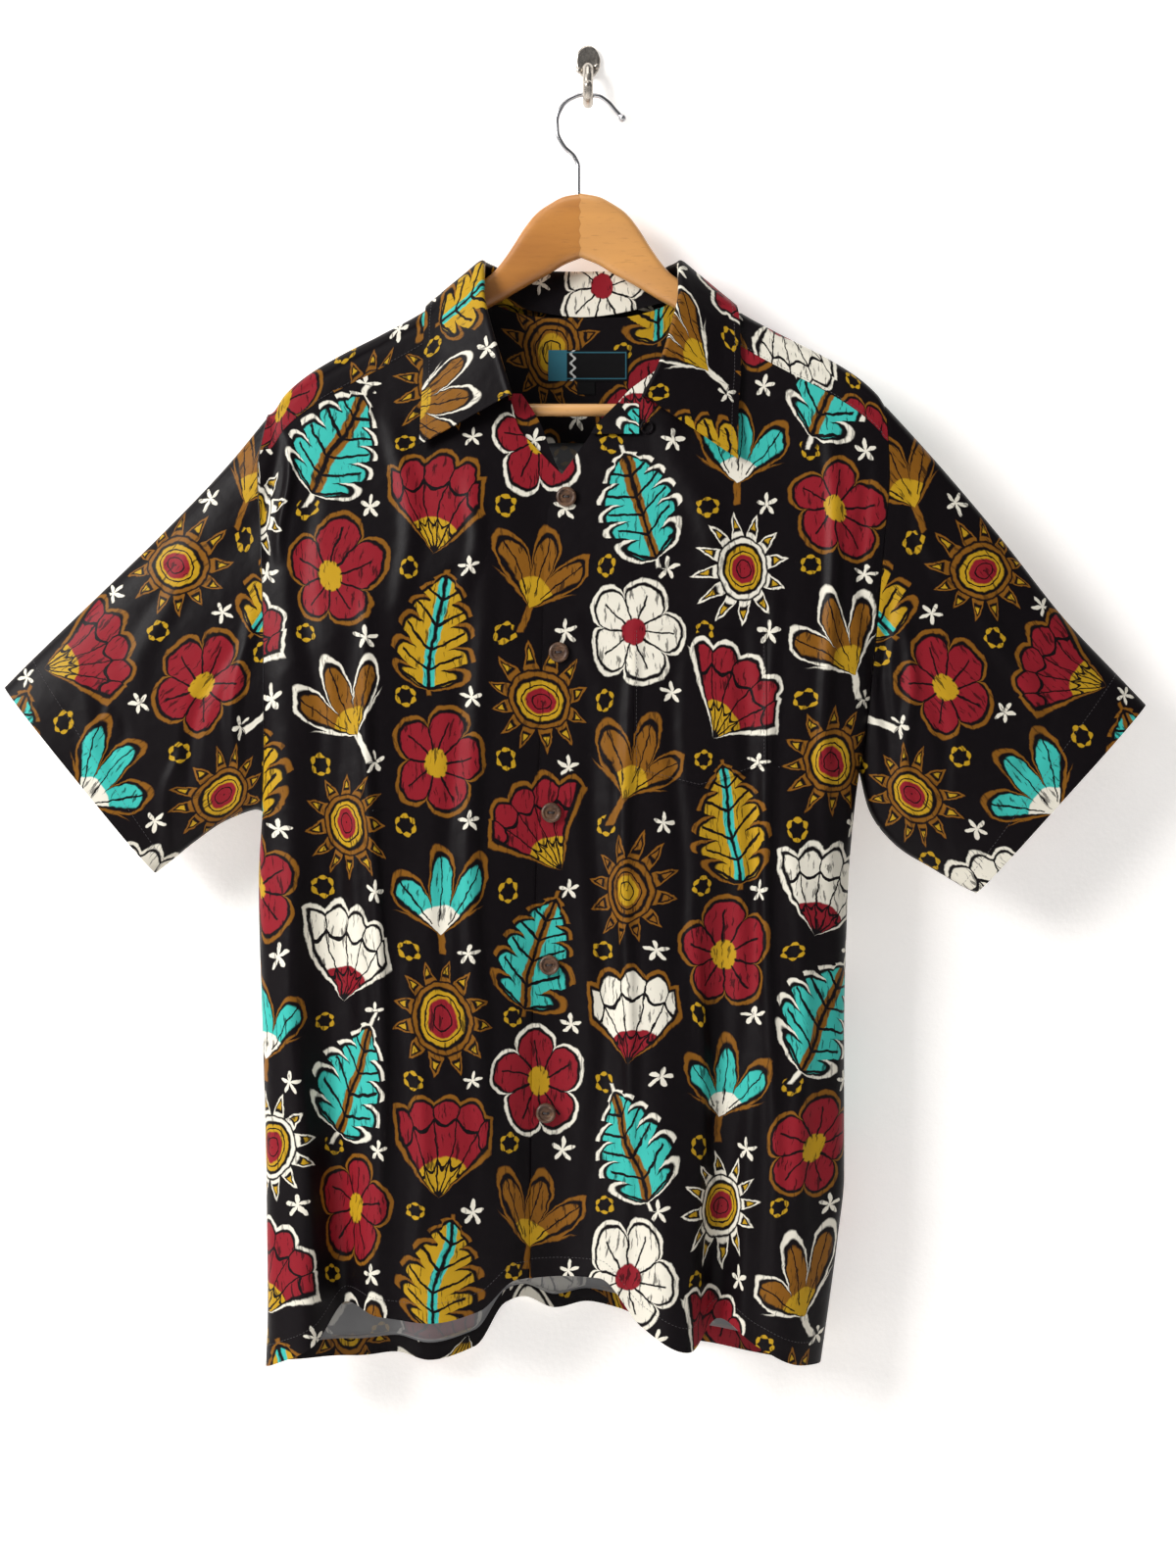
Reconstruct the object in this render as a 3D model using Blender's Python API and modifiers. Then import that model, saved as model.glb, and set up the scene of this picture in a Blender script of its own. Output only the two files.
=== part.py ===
"""Hawaiian shirt, size M, on a contoured wooden hanger that hangs on a metal wall hook.

The wall is the plane y = 0 and the shirt faces -Y. The origin is the centre of the wall hook's flat
back face. Sizes are in millimetres below and become metres when a mesh is made. Heights in the
tables are measured from the DATUM, a level a little below the wall hook's centre.
"""
import math

import bmesh
import bpy
import numpy as np

MM = 0.001
DATUM = -19.0

# Cloth
CLOTH = 1.2
COLLAR_CLOTH = 1.6
GAP = 0.35
SEAM = 0.2

# Body: where its middle lies across, how deep its front and back stand off the middle surface
CENTRE = -5.0
NECK_HALF = 86.0
WALL_SIDE = -30.0
BOW = 30.0
BOW_REACH = 245.0
FRONT_DEPTH = 50.0
BACK_DEPTH = 22.0
SHOULDER_ROUND = 10.5
CHEST_FALL = 200.0
SIDE_BEND = 2.6
ROUND_BEND = 8.0

# Heights at the hem: of the folds, of the side seams, of the fronts' inner edges
FOLD_FOOT = -950.0
SIDE_FOOT = -960.0
EDGE_FOOT = -895.0

# Yoke and armholes
YOKE_DROP = 28.0
BACK_YOKE_Z = -270.0
BACK_YOKE_SAG = 30.0
ARM_TOP = {-1: -255.0, 1: -250.0}
ARM_LOW = {-1: -552.0, 1: -520.0}
TOP_REACH = 16.0
MID_REACH = 5.0

# Front overlap
OVERLAP_START = -62.0
OVERLAP_WIDTH = 36.0
OVERLAP_SINK = 3.2

# Hanger and wall hook
WOOD_HALF = 6.5
BAR_RADIUS = 4.75
BAR_Z = -253.0
BAR_END = 203.0
WIRE_RADIUS = 1.8
WIRE_BALL = 3.0
PRONG_RADIUS = 4.0
PLATE_WIDTH = 19.0
PLATE_HEIGHT = 25.0
PLATE_THICK = 3.5

BUTTON_RADIUS = 7.5
BUTTON_THICK = 3.0


def table(columns, *rows):
    """A short table as named columns."""
    return dict(zip(columns.split(), zip(*rows)))


SIDES = table(
    "z left right",
    (-965, -238, 172),
    (-915, -236.5, 179),
    (-865, -237, 185.5),
    (-820, -237.5, 190),
    (-720, -240, 190),
    (-604, -243, 193),
    (-545, -240, 198),
    (-500, -238, 204),
    (-430, -238, 211),
    (-360, -240, 217),
    (-300, -243, 222),
    (-270, -239, 221),
    (-240, -232, 219),
)

# The line over the shoulders: distance from the centre, height
RIDGE = table(
    "across z",
    (0, -150),
    (60, -149),
    (86, -154),
    (117, -177),
    (151, -196.5),
    (179, -211.6),
    (203, -227),
    (219.5, -242),
    (229, -256),
    (246, -263),
)

# The back of the neck: distance from the centre, height of the collar seam
BACK_NECK = table(
    "across z",
    (0, -179),
    (30, -178.5),
    (50, -175),
    (70, -167),
    (86, -154),
)

# The inner edge of each front, from the shoulder down the neck and the V to the hem
RIGHT_EDGE = table(
    "z x",
    (-895, -15),
    (-664, -11),
    (-552, -9),
    (-435, -4),
    (-360, 1),
    (-325, 2),
    (-298, -24),
    (-283, -38),
    (-268, -51),
    (-247, -57),
    (-230, -64),
    (-205, -76),
    (-182, -91),
)
LEFT_EDGE = table(
    "z x",
    (-895, -42.5),
    (-747, -41),
    (-567, -37),
    (-460, -34),
    (-359, -32),
    (-318, -27),
    (-290, -10),
    (-274, 1),
    (-267, 5),
    (-250, 21),
    (-239, 31),
    (-230, 43),
    (-221, 54),
    (-201, 68),
    (-182, 81),
)

# The hems: place across, height
FRONT_HEM = table(
    "x z",
    (-238, -960),
    (-200, -941),
    (-178, -913),
    (-150, -920),
    (-115, -924),
    (-80, -917),
    (-52, -895),
    (8, -894),
    (40, -929),
    (75, -946),
    (97, -926),
    (125, -944),
    (158, -958),
    (173, -959),
)
BACK_HEM = table(
    "x z",
    (-238, -961),
    (-178, -962),
    (-143, -959),
    (-119, -964),
    (-86, -957),
    (-63, -925),
    (-48, -920),
    (-25, -928),
    (0, -923),
    (24, -927),
    (59, -948),
    (90, -954),
    (147, -961),
    (173, -960),
)

# Large folds: place across at the hem and at their top, height of the top, half width, how far out
FRONT_FOLDS = table(
    "low top z_top half out",
    (-208, -226, -520, 18, 5),
    (-178, -206, -370, 25, -28),
    (-112, -92, -400, 46, 9),
    (-22, -20, -440, 46, -17),
    (60, 32, -430, 32, 11),
    (94, 103, -480, 22, -22),
    (146, 168, -320, 30, 10),
    (-160, -158, -300, 26, 5),
    (70, 62, -330, 30, 3),
)
BACK_FOLDS = table(
    "low top z_top half out",
    (-190, -180, -520, 30, 7),
    (-119, -112, -600, 34, -12),
    (-62, -60, -640, 34, 6),
    (28, 22, -600, 38, -9),
    (96, 90, -560, 36, 6),
    (150, 150, -520, 24, -7),
)

# Sleeves, A on the picture's left and B on its right: share of the length, upper fold, lower fold,
# depths in front of and behind the middle
SLEEVE_A = table(
    "share top_x top_z low_x low_z front back middle",
    (0.0, -234, -255, -240, -552, 22, 12, -60),
    (0.2, -268, -296, -246, -550, 22, 13, -58),
    (0.45, -320, -350, -268, -558, 21, 13, -56),
    (0.7, -370, -398, -292, -574, 20, 13, -54),
    (0.9, -412, -438, -312, -590, 19, 14, -52),
    (1.0, -433, -459, -321, -597, 19, 14, -52),
)
SLEEVE_B = table(
    "share top_x top_z low_x low_z front back middle",
    (0.0, 220, -250, 201, -520, 22, 12, -60),
    (0.2, 252, -285, 209, -551, 22, 13, -58),
    (0.45, 304, -346, 229, -577, 21, 13, -56),
    (0.7, 354, -409, 256, -594, 20, 13, -54),
    (0.9, 394, -451, 278, -607, 19, 14, -52),
    (1.0, 414, -472, 288, -612, 19, 14, -52),
)

# Collar: where it is sewn on, its roll line and its outer edge, from the left end round the back
COLLAR = table(
    "place sewn_x sewn_z roll_x roll_y roll_z edge_x edge_y edge_z",
    (0.00, -57, -247, -56, -79, -245, -124, -78, -282),
    (0.10, -64, -230, -64, -74, -218, -123, -70, -251),
    (0.20, -76, -205, -72, -66, -190, -122, -61, -222),
    (0.29, -90, -181, -77, -55, -163, -122, -54, -196),
    (0.36, -91, -154, -77, -36, -139.5, -120, -38, -172),
    (0.385, -86, -158, -72, -24, -140, -115, -26, -178),
    (0.42, -75, -165, -64, -17.5, -142, -104, -16, -190),
    (0.50, -5, -179, -5, -14, -143, -5, -8, -203),
    (0.58, 65, -165, 54, -17.5, -142, 94, -16, -190),
    (0.615, 76, -158, 62, -24, -140, 105, -24, -178),
    (0.64, 81, -154, 67, -36, -139.5, 110, -38, -172),
    (0.71, 80, -181, 67, -55, -163, 113, -54, -196),
    (0.80, 67, -205, 62, -66, -190, 113, -61, -224),
    (0.90, 54, -226, 52, -74, -222, 111, -70, -256),
    (1.00, 40, -245, 40, -80, -246, 110, -79, -292),
)

# Turned-out facings in the V: height, edge towards the opening
RIGHT_FACING = table(
    "z x",
    (-301, -21),
    (-284, -28),
    (-268, -33.5),
    (-255, -40.5),
    (-242, -49),
)

POCKET = table(
    "x z",
    (34, -521),
    (82, -533),
    (130, -517),
)
POCKET_TOP = -418.0

# Small laid pieces: thickness, and the lapel's extent on the picture's right
FACING_CLOTH = 0.9
POCKET_CLOTH = 1.0
LABEL_CLOTH = 0.8
TRIM_LIFT = GAP + POCKET_CLOTH
FACING_UNDER = 9.0
LAPEL_TOP = -250.0
LAPEL_LOW = -273.0
LAPEL_RIGHT = 37.5

# The small loop: centre across and height, radius of the ring and of its cord
LOOP_X = 43.5
LOOP_Z = -268.0
LOOP_RADIUS = 4.2
LOOP_CORD = 1.0

LABELS = table(
    "name left right top low",
    ("label", -30.4, 30.4, -203.3, -226.3),
    ("size_tag", -8.5, 5.5, -227.0, -236.5),
)

BUTTONS = table(
    "x z",
    (-16, -320),
    (-21.5, -434.5),
    (-27, -552),
    (-28.5, -664),
    (-31, -773),
)

# Wooden hanger: distance from the centre, upper edge, lower edge
WOOD = table(
    "across top low",
    (0, -87.4, -136),
    (12.5, -89.6, -141),
    (24, -95.5, -148),
    (33, -101.8, -153),
    (43, -114, -158.5),
    (50.5, -126, -163),
    (58.6, -138, -168),
    (66, -147, -172),
    (76, -154.5, -178),
    (86, -161, -184),
    (117, -181.5, -203),
    (151, -200.7, -222),
    (179, -216.2, -241),
    (197, -228, -259),
    (206, -236, -262.5),
    (213, -247, -260),
)

WIRE = table(
    "x z",
    (-7.3, -88.5),
    (-7.3, -68.6),
    (-10, -60.2),
    (-18, -52),
    (-23, -41.5),
    (-23.4, -32.5),
    (-19.8, -22.5),
    (-12.5, -16),
    (-3.7, -13.2),
    (6.9, -14),
    (15.3, -19),
    (20.6, -25),
    (24, -28.8),
)
WIRE_Y = -30.0

PRONG = table(
    "y z",
    (-3.9, 12.5),
    (-9.5, 12.5),
    (-14, 6),
    (-16.5, -5),
    (-20, -14),
    (-30, -19.4),
    (-38, -16),
    (-41, -9),
)

COLOURS = table(
    "name red green blue rough metal",
    ("print", 0.022, 0.014, 0.020, 0.62, 0.0),
    ("button", 0.060, 0.030, 0.018, 0.45, 0.0),
    ("label", 0.010, 0.050, 0.080, 0.70, 0.0),
    ("wood", 0.55, 0.27, 0.09, 0.38, 0.0),
    ("bar", 0.68, 0.40, 0.17, 0.35, 0.0),
    ("wire", 0.62, 0.62, 0.63, 0.22, 1.0),
    ("nickel", 0.50, 0.48, 0.45, 0.25, 1.0),
)


def smooth(xs, ys, x):
    """Monotone cubic curve through the points, held level beyond its ends."""
    order = np.argsort(xs)
    xs = np.asarray(xs, float)[order]
    ys = np.asarray(ys, float)[order]
    step = np.diff(xs)
    slope = np.diff(ys) / step
    tilt = np.zeros_like(ys)
    product = slope[1:] * slope[:-1]
    safe = np.where(product > 0, slope[1:] + slope[:-1], 1.0)
    tilt[1:-1] = np.where(product > 0, 2 * product / safe, 0.0)
    tilt[0] = slope[0]
    tilt[-1] = slope[-1]
    x = np.clip(np.asarray(x, float), xs[0], xs[-1])
    i = np.clip(np.searchsorted(xs, x, side="right") - 1, 0, len(xs) - 2)
    t = (x - xs[i]) / step[i]
    value = ys[i] * (1 + 2 * t) * (1 - t) ** 2 + ys[i + 1] * t * t * (3 - 2 * t)
    return value + step[i] * t * (1 - t) * (tilt[i] * (1 - t) - tilt[i + 1] * t)


def read(rows, key, column, at):
    """A column of a table, read as a smooth curve over another column."""
    return smooth(rows[key], rows[column], at)


def unit(vectors):
    """The vectors scaled to length one."""
    return vectors / np.maximum(np.linalg.norm(vectors, axis=-1, keepdims=True), 1e-9)


# ------------------------------------------------------------------ the garment's two surfaces

def bow(x):
    """The middle surface: it bends towards the viewer with the hanger's arms."""
    return WALL_SIDE - BOW * ((x - CENTRE) / BOW_REACH) ** 2


def ridge(x):
    """Height of the shoulder line."""
    return read(RIDGE, "across", "z", np.abs(x - CENTRE))


def side_x(side, z):
    """The armhole seam above the underarm and the side seam below it."""
    return read(SIDES, "z", "left" if side < 0 else "right", z)


def reach(side, z):
    """How far the body would swell past its armhole seam, which leaves the armhole its width."""
    share = np.clip((ARM_TOP[side] - z) / (ARM_TOP[side] - ARM_LOW[side]), 0, 1)
    return TOP_REACH * (1 - share) ** 2 + MID_REACH * np.sin(math.pi * share)


def spread(x, z):
    """Place across the body: -1 and 1 at its two sides."""
    left = side_x(-1, z) - reach(-1, z)
    right = side_x(1, z) + reach(1, z)
    middle = (left + right) / 2
    return np.clip((x - middle) / ((right - left) / 2), -1, 1)


def fullness(x, z, depth):
    """Distance of the cloth from the middle surface: round over the shoulder, then full."""
    below = np.maximum(ridge(x) - z, 0)
    across = np.abs(spread(x, z))
    turn = SHOULDER_ROUND * np.sqrt(1 - (1 - np.minimum(below / SHOULDER_ROUND, 1)) ** 2)
    fall = np.clip((below - SHOULDER_ROUND) / CHEST_FALL, 0, 1) ** 0.7
    round_side = (1 - across ** ROUND_BEND) ** (1 / ROUND_BEND)
    full_side = (1 - across ** SIDE_BEND) ** (1 / SIDE_BEND)
    return turn * round_side + (depth - SHOULDER_ROUND) * fall * full_side


def fold_height(folds, x, z):
    """Sum of the large folds: each deepens from its top to the hem."""
    total = np.zeros(np.broadcast(x, z).shape)
    for low, top, z_top, half, out in zip(*folds.values()):
        share = np.clip((z_top - z) / (z_top - FOLD_FOOT), 0, 1)
        centre = top + (low - top) * share
        bump = np.cos(np.clip((x - centre) / half, -1, 1) * math.pi / 2) ** 2
        total = total + out * share ** 1.2 * bump
    return total * (1 - np.abs(spread(x, z)) ** 10)


def front_y(x, z):
    """Outer face of the front."""
    return bow(x) - fullness(x, z, FRONT_DEPTH) - fold_height(FRONT_FOLDS, x, z)


def back_y(x, z):
    """Outer face of the back."""
    return bow(x) + fullness(x, z, BACK_DEPTH) + fold_height(BACK_FOLDS, x, z)


def right_front_y(x, z):
    """Outer face of the right front, which dips under the left one at the buttons."""
    share = np.clip((x - OVERLAP_START) / OVERLAP_WIDTH, 0, 1)
    return front_y(x, z) + OVERLAP_SINK * share * share * (3 - 2 * share)


# ------------------------------------------------------------------ panels as rows of cloth

def cloth_row(start, end, surface, count, hem=None, hem_share=0.0):
    """One row of a panel: straight in the front view, with even steps along the cloth.

    Gives the points and the direction along the row at each of them.
    """
    share = 0.5 - 0.5 * np.cos(np.linspace(0, math.pi, 700))
    x = start[0] + (end[0] - start[0]) * share
    z = start[1] + (end[1] - start[1]) * share
    if hem is not None:
        line = read(hem, "x", "z", start[0]) * (1 - share) + read(hem, "x", "z", end[0]) * share
        z = z + hem_share ** 3 * (read(hem, "x", "z", x) - line)
    points = np.stack([x, surface(x, z), z], axis=1)
    along = np.concatenate([[0], np.cumsum(np.linalg.norm(np.diff(points, axis=0), axis=1))])
    stations = np.linspace(0, along[-1], count + 1)
    heading = unit(np.gradient(points, axis=0))
    pick = [np.stack([np.interp(stations, along, part[:, i]) for i in range(3)], axis=1)
            for part in (points, heading)]
    return pick[0], unit(pick[1])


def side_levels(side, top, count_arm, count_body, hem):
    """Heights of a panel's rows at the side: down the armhole, then down the side seam."""
    arm = np.linspace(top, ARM_LOW[side], count_arm + 1)
    foot = read(hem, "x", "z", side_x(side, SIDE_FOOT))
    return np.concatenate([arm, np.linspace(ARM_LOW[side], foot, count_body + 1)[1:]])


def panel(rows):
    """Stack rows into a grid of points and a grid of outward directions."""
    points = np.array([row[0] for row in rows])
    headings = np.array([row[1] for row in rows])
    down = unit(np.gradient(points, axis=0))
    return points, unit(np.cross(down, headings))


def inset(points, directions, top=SEAM, bottom=0.0, first=SEAM, last=SEAM):
    """Draw a grid's edges in by the seam gaps."""
    points = points.copy()
    points[0] += unit(points[1] - points[0]) * top
    points[-1] += unit(points[-2] - points[-1]) * bottom
    points[:, 0] += unit(points[:, 1] - points[:, 0]) * first
    points[:, -1] += unit(points[:, -2] - points[:, -1]) * last
    return points, directions


# ------------------------------------------------------------------ meshes, materials, objects

def fresh_collection(name):
    """A new collection in the scene."""
    made = bpy.data.collections.new(name)
    bpy.context.scene.collection.children.link(made)
    return made


for old in list(bpy.data.objects):
    bpy.data.objects.remove(old, do_unlink=True)
shirt = fresh_collection("hawaiian_shirt")
cutters = fresh_collection("cutters")

materials = {}
for name, red, green, blue, rough, metal in zip(*COLOURS.values()):
    material = bpy.data.materials.new(name)
    material.use_nodes = True
    shader = material.node_tree.nodes["Principled BSDF"]
    shader.inputs["Base Color"].default_value = (red, green, blue, 1)
    shader.inputs["Roughness"].default_value = rough
    shader.inputs["Metallic"].default_value = metal
    materials[name] = material


def add_object(name, mesh, material, group=None):
    """Link a mesh as a named object with its material."""
    made = bpy.data.objects.new(name, mesh)
    mesh.materials.append(materials[material])
    (group or shirt).objects.link(made)
    return made


def from_faces(name, points, faces, material):
    """An object from points in millimetres above the datum."""
    points = np.array(points, float).reshape(-1, 3) + (0, 0, DATUM)
    mesh = bpy.data.meshes.new(name)
    mesh.from_pydata((points * MM).tolist(), [], faces)
    mesh.update()
    mesh.set_sharp_from_angle(angle=math.radians(40))
    return add_object(name, mesh, material)


def wall(name, outer, outward, material, thick=CLOTH, keep=None, ring=False):
    """A closed sheet of cloth: a grid of points, the same grid moved in, and strips at its edges.

    keep leaves cells out, such as the neck notch. A ring joins the last column to the first.
    """
    inner = outer - outward * thick
    rows, columns = outer.shape[:2]
    cells = np.ones((rows - 1, columns if ring else columns - 1), bool) if keep is None else keep
    faces = []
    edges = {}
    offset = rows * columns
    for i, j in zip(*np.nonzero(cells)):
        right = (j + 1) % columns
        quad = [i * columns + j, i * columns + right, (i + 1) * columns + right, (i + 1) * columns + j]
        for half in ((0, 1, 2), (0, 2, 3)):
            faces.append([quad[k] for k in reversed(half)])
            faces.append([quad[k] + offset for k in half])
        for k in range(4):
            edges[(quad[k], quad[(k + 1) % 4])] = True
    for a, b in edges:
        if (b, a) not in edges:
            faces.append([a, b, b + offset, a + offset])
    points = np.concatenate([outer.reshape(-1, 3), inner.reshape(-1, 3)])
    used = sorted({corner for face in faces for corner in face})
    place = {corner: k for k, corner in enumerate(used)}
    made = from_faces(name, points[used], [[place[c] for c in face] for face in faces], material)
    return outward_faces(made)


def outward_faces(made):
    """Turn the faces of a closed object outwards."""
    work = bmesh.new()
    work.from_mesh(made.data)
    bmesh.ops.recalc_face_normals(work, faces=work.faces)
    work.to_mesh(made.data)
    work.free()
    return made


# ------------------------------------------------------------------ fronts and back

ARM_ROWS = 10
BODY_ROWS = 10
FRONT_COLUMNS = 14
SHOULDER_COLUMNS = FRONT_COLUMNS // 2
NECK_COLUMNS = 10
BACK_COLUMNS = 2 * SHOULDER_COLUMNS + NECK_COLUMNS


def yoke_columns():
    """Places across of the yoke's columns, close together at the armholes and the neck's corners."""
    share = np.linspace(0, 1, SHOULDER_COLUMNS + 1)
    share = (share + 1 - np.cos(share * math.pi / 2)) / 2
    neck = CENTRE + NECK_HALF * np.sin(np.linspace(-1, 1, NECK_COLUMNS + 1) * math.pi / 2)
    arms = [side_x(side, ARM_TOP[side]) for side in (-1, 1)]
    left = arms[0] + (neck[0] - arms[0]) * share
    right = arms[1] + (neck[-1] - arms[1]) * share
    return np.concatenate([left, neck[1:-1], right[::-1]])


def heading_along(points):
    """Direction along a row of points."""
    return unit(np.gradient(points, axis=0))


def front_grid(side, edge, surface):
    """Rows of one front from its shoulder seam to its hem."""
    corner_x = side_x(side, ridge(side_x(side, ARM_TOP[side])) - YOKE_DROP)
    corner_z = ridge(corner_x) - YOKE_DROP
    outer_z = side_levels(side, corner_z, ARM_ROWS, BODY_ROWS, FRONT_HEM)
    neck_z = ridge(CENTRE + side * NECK_HALF) - YOKE_DROP
    inner_foot = read(FRONT_HEM, "x", "z", read(edge, "z", "x", EDGE_FOOT))
    inner_z = np.concatenate([np.linspace(neck_z, ARM_LOW[side], ARM_ROWS + 1),
                              np.linspace(ARM_LOW[side], inner_foot, BODY_ROWS + 1)[1:]])
    rows = []
    for k, (zi, zo) in enumerate(zip(inner_z, outer_z)):
        inner = (read(edge, "z", "x", zi), zi)
        outer = (side_x(side, zo), zo)
        ends = (outer, inner) if side < 0 else (inner, outer)
        share = max(0.0, (k - ARM_ROWS) / BODY_ROWS)
        if k == 0:
            rows.append(shoulder_row(side, surface))
        else:
            rows.append(cloth_row(*ends, surface, FRONT_COLUMNS, FRONT_HEM, share))
    return panel(rows)


def shoulder_row(side, surface):
    """The top row of a front: the shoulder seam, on the chords of the yoke's edge."""
    columns = yoke_columns()
    x = columns[:SHOULDER_COLUMNS + 1] if side < 0 else columns[-SHOULDER_COLUMNS - 1:]
    z = ridge(x) - YOKE_DROP
    arm = 0 if side < 0 else -1
    x[arm] = side_x(side, z[arm])
    corners = np.stack([x, surface(x, z), z], axis=1)
    points = np.repeat(corners, 2, axis=0)[:-1]
    points[1::2] = (corners[:-1] + corners[1:]) / 2
    return points, heading_along(points)


right_points, right_out = front_grid(-1, RIGHT_EDGE, right_front_y)
left_points, left_out = front_grid(1, LEFT_EDGE, front_y)
wall("front_right", *inset(right_points, right_out), "print")
wall("front_left", *inset(left_points, left_out), "print")


def back_seam(x):
    """Height of the seam between yoke and back."""
    return BACK_YOKE_Z - BACK_YOKE_SAG * ((x - CENTRE) / 230) ** 2


def back_rows():
    """Rows of the back from the yoke seam to the hem, from the left side to the right."""
    levels = [side_levels(side, back_seam(side_x(side, -300)), ARM_ROWS, BODY_ROWS, BACK_HEM)
              for side in (-1, 1)]
    rows = []
    for k, (zl, zr) in enumerate(zip(*levels)):
        share = max(0.0, (k - ARM_ROWS) / BODY_ROWS)
        start = (side_x(-1, zl), zl)
        end = (side_x(1, zr), zr)
        if k == 0:
            rows.append(seam_row())
        else:
            rows.append(cloth_row(start, end, back_y, BACK_COLUMNS, BACK_HEM, share))
    return rows


def seam_row():
    """The top row of the back along the yoke seam."""
    x = yoke_columns()
    z = back_seam(x)
    for side, arm in ((-1, 0), (1, -1)):
        x[arm] = side_x(side, z[arm])
    points = np.stack([x, back_y(x, z), z], axis=1)
    return points, heading_along(points)


back_points, back_in = panel(back_rows())
back_out = -back_in
wall("back", *inset(back_points, back_out), "print")


# ------------------------------------------------------------------ yoke

TURN_STEPS = 3
BACK_STEPS = 3
NOTCH_STEP = 0.4


def yoke_grid():
    """The double yoke: over each shoulder and across the back, with a notch for the neck.

    A row is a distance below the ridge: in front of it, on it and behind it.
    """
    x = yoke_columns()
    round_steps = SHOULDER_ROUND * (1 - np.cos(np.linspace(0, math.pi / 2, TURN_STEPS + 1)))
    front_below = np.concatenate([[YOKE_DROP], round_steps[:0:-1]])
    ridge_row = len(front_below)
    is_neck = np.abs(x - CENTRE) < NECK_HALF + 0.01
    start = np.where(is_neck, ridge(x) - read(BACK_NECK, "across", "z", np.abs(x - CENTRE)), 0)
    end = ridge(x) - back_seam(x)
    turn_end = np.maximum(start, SHOULDER_ROUND)
    rows = [(-1, np.full_like(x, below)) for below in front_below]
    rows.append((0, start))
    for step in round_steps[1:]:
        drop = (turn_end - start) * step / SHOULDER_ROUND + NOTCH_STEP * (start > 1) * step
        rows.append((1, start + drop))
    last = rows[-1][1]
    for k in range(1, BACK_STEPS + 1):
        rows.append((1, last + (end - last) * k / BACK_STEPS))
    grid = np.zeros((len(rows), len(x), 3))
    for k, (side, below) in enumerate(rows):
        z = ridge(x) - below
        y = front_y(x, z) if side < 0 else back_y(x, z)
        grid[k] = np.stack([x, np.where(below < 1e-6, bow(x), y), z], axis=1)
    for arm, side in ((0, -1), (-1, 1)):
        z = grid[:, arm, 2]
        arm_x = side_x(side, np.minimum(z, ARM_TOP[side]))
        arm_y = np.where(np.arange(len(rows)) < ridge_row, front_y(arm_x, z), back_y(arm_x, z))
        arm_y[ridge_row] = grid[ridge_row, arm, 1]
        grid[:, arm, 0] = arm_x
        grid[:, arm, 1] = arm_y
    keep = np.ones((len(rows) - 1, len(x) - 1), bool)
    keep[:ridge_row, SHOULDER_COLUMNS:SHOULDER_COLUMNS + NECK_COLUMNS] = False
    outward = np.array([over_directions(grid[k, :, 0], below, side)
                        for k, (side, below) in enumerate(rows)])
    return grid, outward, keep, ridge_row


def over_directions(x, below, side):
    """Outward directions of the yoke at a distance below the ridge, in front of or behind it."""
    def place(at_x, drop):
        z = ridge(at_x) - drop
        y = front_y(at_x, z) if side < 0 else back_y(at_x, z)
        return np.stack([at_x, np.where(drop < 1e-6, bow(at_x), y), z], axis=1)

    step = 0.5
    across = place(x + step, below) - place(x - step, below)
    fall = place(x, below + step) - place(x, np.maximum(below - step, 0))
    fall = -fall if side < 0 else fall
    fall = np.where((below < 1e-6)[:, None], (0.0, 1.0, 0.0), fall)
    return unit(np.cross(across, fall))


yoke_points, yoke_out, yoke_cells, ridge_row = yoke_grid()
yoke_edge = inset(yoke_points, yoke_out, top=SEAM, bottom=SEAM)
wall("yoke_outer", *yoke_edge, "print", keep=yoke_cells)
under = yoke_points - yoke_out * (CLOTH + GAP)
wall("yoke_inner", *inset(under, yoke_out, top=1.0, bottom=-2.5, first=1.5, last=1.5), "print",
     keep=yoke_cells)


# ------------------------------------------------------------------ sleeves

SLEEVE_STEPS = 7


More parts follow.
